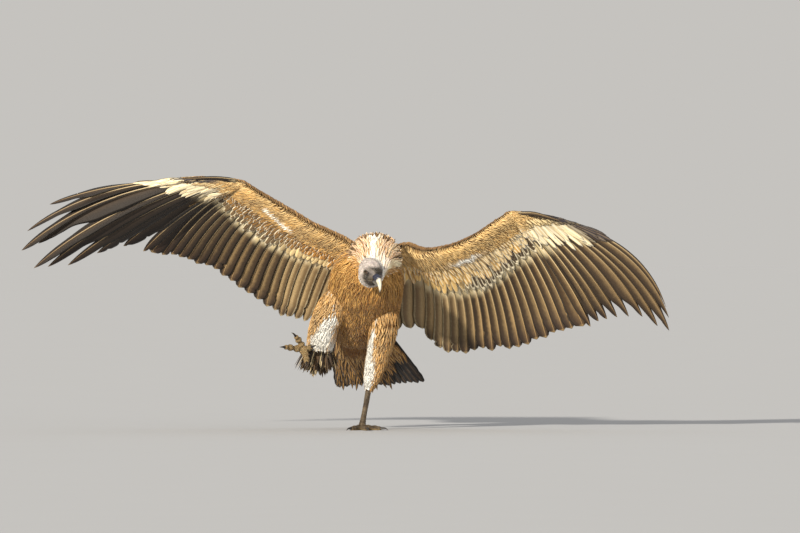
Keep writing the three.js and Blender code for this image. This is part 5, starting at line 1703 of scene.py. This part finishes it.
def bill_rings(table, count, around):
    """The path of half a bill, its half width and depth along it, u and the angle of each point of
    its rings, and the three directions of each ring."""
    path = spline(head_point(*np.array([(row[0], 0, row[3]) for row in table]).T))
    step = np.arange(len(table)) / (len(table) - 1)
    wide, deep = (stops(np.stack((step, [row[k] for row in table]), -1)) for k in (1, 2))
    u, a = np.meshgrid(np.linspace(0, 1, count), np.arange(around) * TURN / around, indexing="ij")
    ahead = heading(path, u)
    sideways = unit(RIGHT - ahead * along(RIGHT, ahead))
    return path, wide, deep, u, a, ahead, sideways, np.cross(sideways, ahead)


def make_bill():
    """Upper half: a deep narrow hook with a rounded ridge, a cere that swells behind a groove and
    holds slit nostrils, and sides that come down to a cutting edge. Lower half: a shallow trough."""
    path, wide, deep, u, a, ahead, sideways, up = bill_rings(UPPER_BILL, 110, 72)
    c, s = np.cos(a), np.sin(a)
    ridge = np.clip(s, 0, 1)
    x = c * wide(u) * (1 - 0.28 * ridge**2) * (1 - 0.1 * smooth(0.36, 0.42, u))
    y = np.where(s > 0, s, s * lerp(0.98, 0.8, smooth(0.2, 0.7, u))) * deep(u)
    groove = -0.9 * bell(u, 0.35, 0.012)
    waxy = 0.7 * bell(u, 0.22, 0.09)
    nostril = bell(u, 0.235, 0.02) * bell(y, 3.2, 3.6) * (abs(c) > 0.3)
    out = 1 + (groove + waxy - 3.2 * nostril) / np.maximum(np.hypot(x, y), 3)
    lip = 0.55 * bell(s, -0.5, 0.16) * smooth(0.38, 0.5, u) * (1 - smooth(0.8, 0.95, u))
    grid = path(u) + sideways * (x * (out + lip * 0.1))[..., None] + up * (y * out)[..., None]
    horn_piece("bill_upper_horn", grid, u, smooth(0.3, 0.8, nostril), BILL, "horn", "bill_upper")

    path, wide, deep, u, a, ahead, sideways, up = bill_rings(LOWER_BILL, 60, 48)
    x, y = np.cos(a) * wide(u) * 0.96, np.sin(a) * deep(u)
    y = np.where(np.sin(a) > 0, y * 1.2, y)
    grid = path(u) + sideways * x[..., None] + up * y[..., None]
    # The lower half of the bill gets painted shade all over.
    horn_piece("bill_lower_horn", grid, lerp(0.3, 1, u), np.zeros_like(u), BILL, "horn", "bill_lower", 1.0)


def make_eyes():
    """A ball with a low cornea, looking out and a little forward and down."""
    for name, sign in (("eye_right", 1), ("eye_left", -1)):
        centre = head_point(EYE_PLACE[0], sign * EYE_PLACE[1], EYE_PLACE[2])
        gaze = unit(FORWARD * 0.42 + RIGHT * sign * 0.9 + CROWN * 0.06)
        side = unit(np.cross(gaze, CROWN))
        top = np.cross(side, gaze)
        polar, a = np.linspace(0.004, np.pi - 0.004, 60), np.arange(64) * TURN / 64
        polar, a = np.meshgrid(polar, a, indexing="ij")
        radius = EYE_RADIUS * (0.97 + 0.035 * smooth(0.8, 0.2, polar))
        around = np.cos(a)[..., None] * side + np.sin(a)[..., None] * top
        ball = np.cos(polar)[..., None] * gaze + np.sin(polar)[..., None] * around
        spokes = 0.5 + 0.3 * np.sin(a * 23 + 2 * np.sin(a * 5)) + 0.2 * np.sin(a * 51)
        points, loops, sizes = tube_shell(centre + ball * radius[..., None])
        marks = np.stack((np.cos(polar), spokes, 0 * a), axis=-1).reshape(-1, 3)
        uv = np.stack((0.5 + polar / TURN * np.cos(a) * 0.95, 0.5 + polar / TURN * np.sin(a) * 0.95), axis=-1)
        piece = put_mesh(name + "_ball", points, loops, sizes, {"OFBake": uv.reshape(-1, 2)}, {"gaze": marks})
        finished(piece, EYE, "eye", name)


def make_claws():
    """Each claw is a tapering hook, flat below, with a ridge along its back."""
    for side, leg in LEGS.items():
        for toe in leg["toes"]:
            line = toe_line(leg, toe)
            u = np.array(0.96)
            end = line(u) + np.array((0, 0, 1.0)) * toe_height(leg, line, u)
            ahead = heading(line, np.array(1.0))
            hook = np.array((0.0, 0, -1)) if leg["standing"] else unit(np.array(leg["sole"], float))
            rise, drop = (1.5, end[2] - 2) if leg["standing"] else (1, 12)
            middle = end + ahead * CLAW_LENGTH * 0.5 - hook * rise
            tip = end + ahead * CLAW_LENGTH * 0.95 + hook * drop
            path = spline([end - ahead * 2, middle, tip])
            u, a = np.meshgrid(np.linspace(0, 1, 40), np.arange(24) * TURN / 24, indexing="ij")
            way = heading(path, u)
            down = unit(hook - way * along(hook, way))
            across = np.cross(way, down)
            radius = lerp(5.4, 0.5, u**1.15)
            deep = np.where(np.sin(a) > 0, 0.62, 1.05) * np.sin(a) * radius
            grid = path(u) + across * (np.cos(a) * radius * 0.86)[..., None] + down * deep[..., None]
            grid[..., 2] = np.maximum(grid[..., 2], 0.0) if leg["standing"] else grid[..., 2]
            name = f"claw_{side}_{toe}"
            horn_piece(name + "_horn", grid, u, np.zeros_like(u), CLAW, "claw", name)


# ---------------------------------------------------------------- the whole bird
head_skin = make_skin()
coat("neck_down", [neck_down()], DOWN, "down")
coat("head_down", [head_down(*head_skin)], DOWN, "down")
body_coat()
for leg_side, leg_sizes in LEGS.items():
    coat(f"thigh_{leg_side}_coat", thigh_coat(leg_side, leg_sizes), BODY_FEATHER, "body_feathers")
ruff_coat()
for wing_side in WINGS:
    make_wing(wing_side)
make_tail()
make_bill()
make_eyes()
make_claws()

# ---------------------------------------------------------------- floor, light and camera
FLOOR_RADIUS = 40.0
ROOM = np.array((0.56, 0.545, 0.52))
SUNS = {
    # where it shines from, the width of its disc in degrees, strength, warmth
    "key": ((-2.6, -4.2, 1.85), 2.5, 5.0, (1.0, 0.92, 0.78)),
    "fill": ((3.6, -4.0, 1.6), 40.0, 0.3, (0.94, 0.97, 1.0)),
}


def make_floor():
    """A round pale floor. Its colour makes it as bright as the room round it, so that no rim shows:
    the room's light over the sum of that and each sun's strength times its height over pi."""
    glow = lambda place, _, strength, warmth: np.array(warmth) * strength * unit(np.array(place))[2] / np.pi
    light = sum(glow(*sun) for sun in SUNS.values())
    a = np.arange(96) * TURN / 96
    points = np.stack((np.cos(a), np.sin(a), 0 * a), axis=-1) * FLOOR_RADIUS
    floor = put_mesh("floor", points / MM - HOME, np.arange(96), np.array((96,)))
    floor.data.materials.append(floor_finish(ROOM / (ROOM + light)))


def aimed(thing, target):
    thing.rotation_euler = (Vector(target) - thing.location).to_track_quat("-Z", "Y").to_euler()


def make_sun(name, place, spread, strength, warmth):
    """A far lamp that shines from place towards the bird."""
    lamp = bpy.data.lights.new(name, "SUN")
    lamp.angle, lamp.energy, lamp.color = np.radians(spread), strength, warmth
    holder = bpy.data.objects.new(name, lamp)
    holder.location = place
    bpy.context.scene.collection.objects.link(holder)
    aimed(holder, (0, 0, 0))


def make_room():
    """Even light from all round."""
    world = bpy.data.worlds.new("studio")
    world.use_nodes = True
    world.node_tree.nodes["Background"].inputs["Color"].default_value = (*ROOM, 1.0)
    bpy.context.scene.world = world


FRAME_WIDTH = 2.72  # metres across the picture at the bird
SENSOR, LENS = 36.0, 700.0
CAMERA_TILT = np.radians(0.8)
PICTURE_MIDDLE = (0.184, -0.1, 0.559)


def make_camera():
    """A long lens, level with the bird, at its front."""
    camera = bpy.data.cameras.new("camera")
    camera.lens, camera.sensor_width, camera.clip_end = LENS, SENSOR, 200.0
    distance = FRAME_WIDTH * LENS / SENSOR
    holder = bpy.data.objects.new("camera", camera)
    holder.location = (
        PICTURE_MIDDLE[0],
        PICTURE_MIDDLE[1] - distance * np.cos(CAMERA_TILT),
        PICTURE_MIDDLE[2] + distance * np.sin(CAMERA_TILT),
    )
    bpy.context.scene.collection.objects.link(holder)
    aimed(holder, PICTURE_MIDDLE)
    bpy.context.scene.camera = holder


make_floor()
for sun, settings in SUNS.items():
    make_sun(sun, *settings)
make_room()
make_camera()
bpy.context.scene.view_settings.view_transform = "Standard"
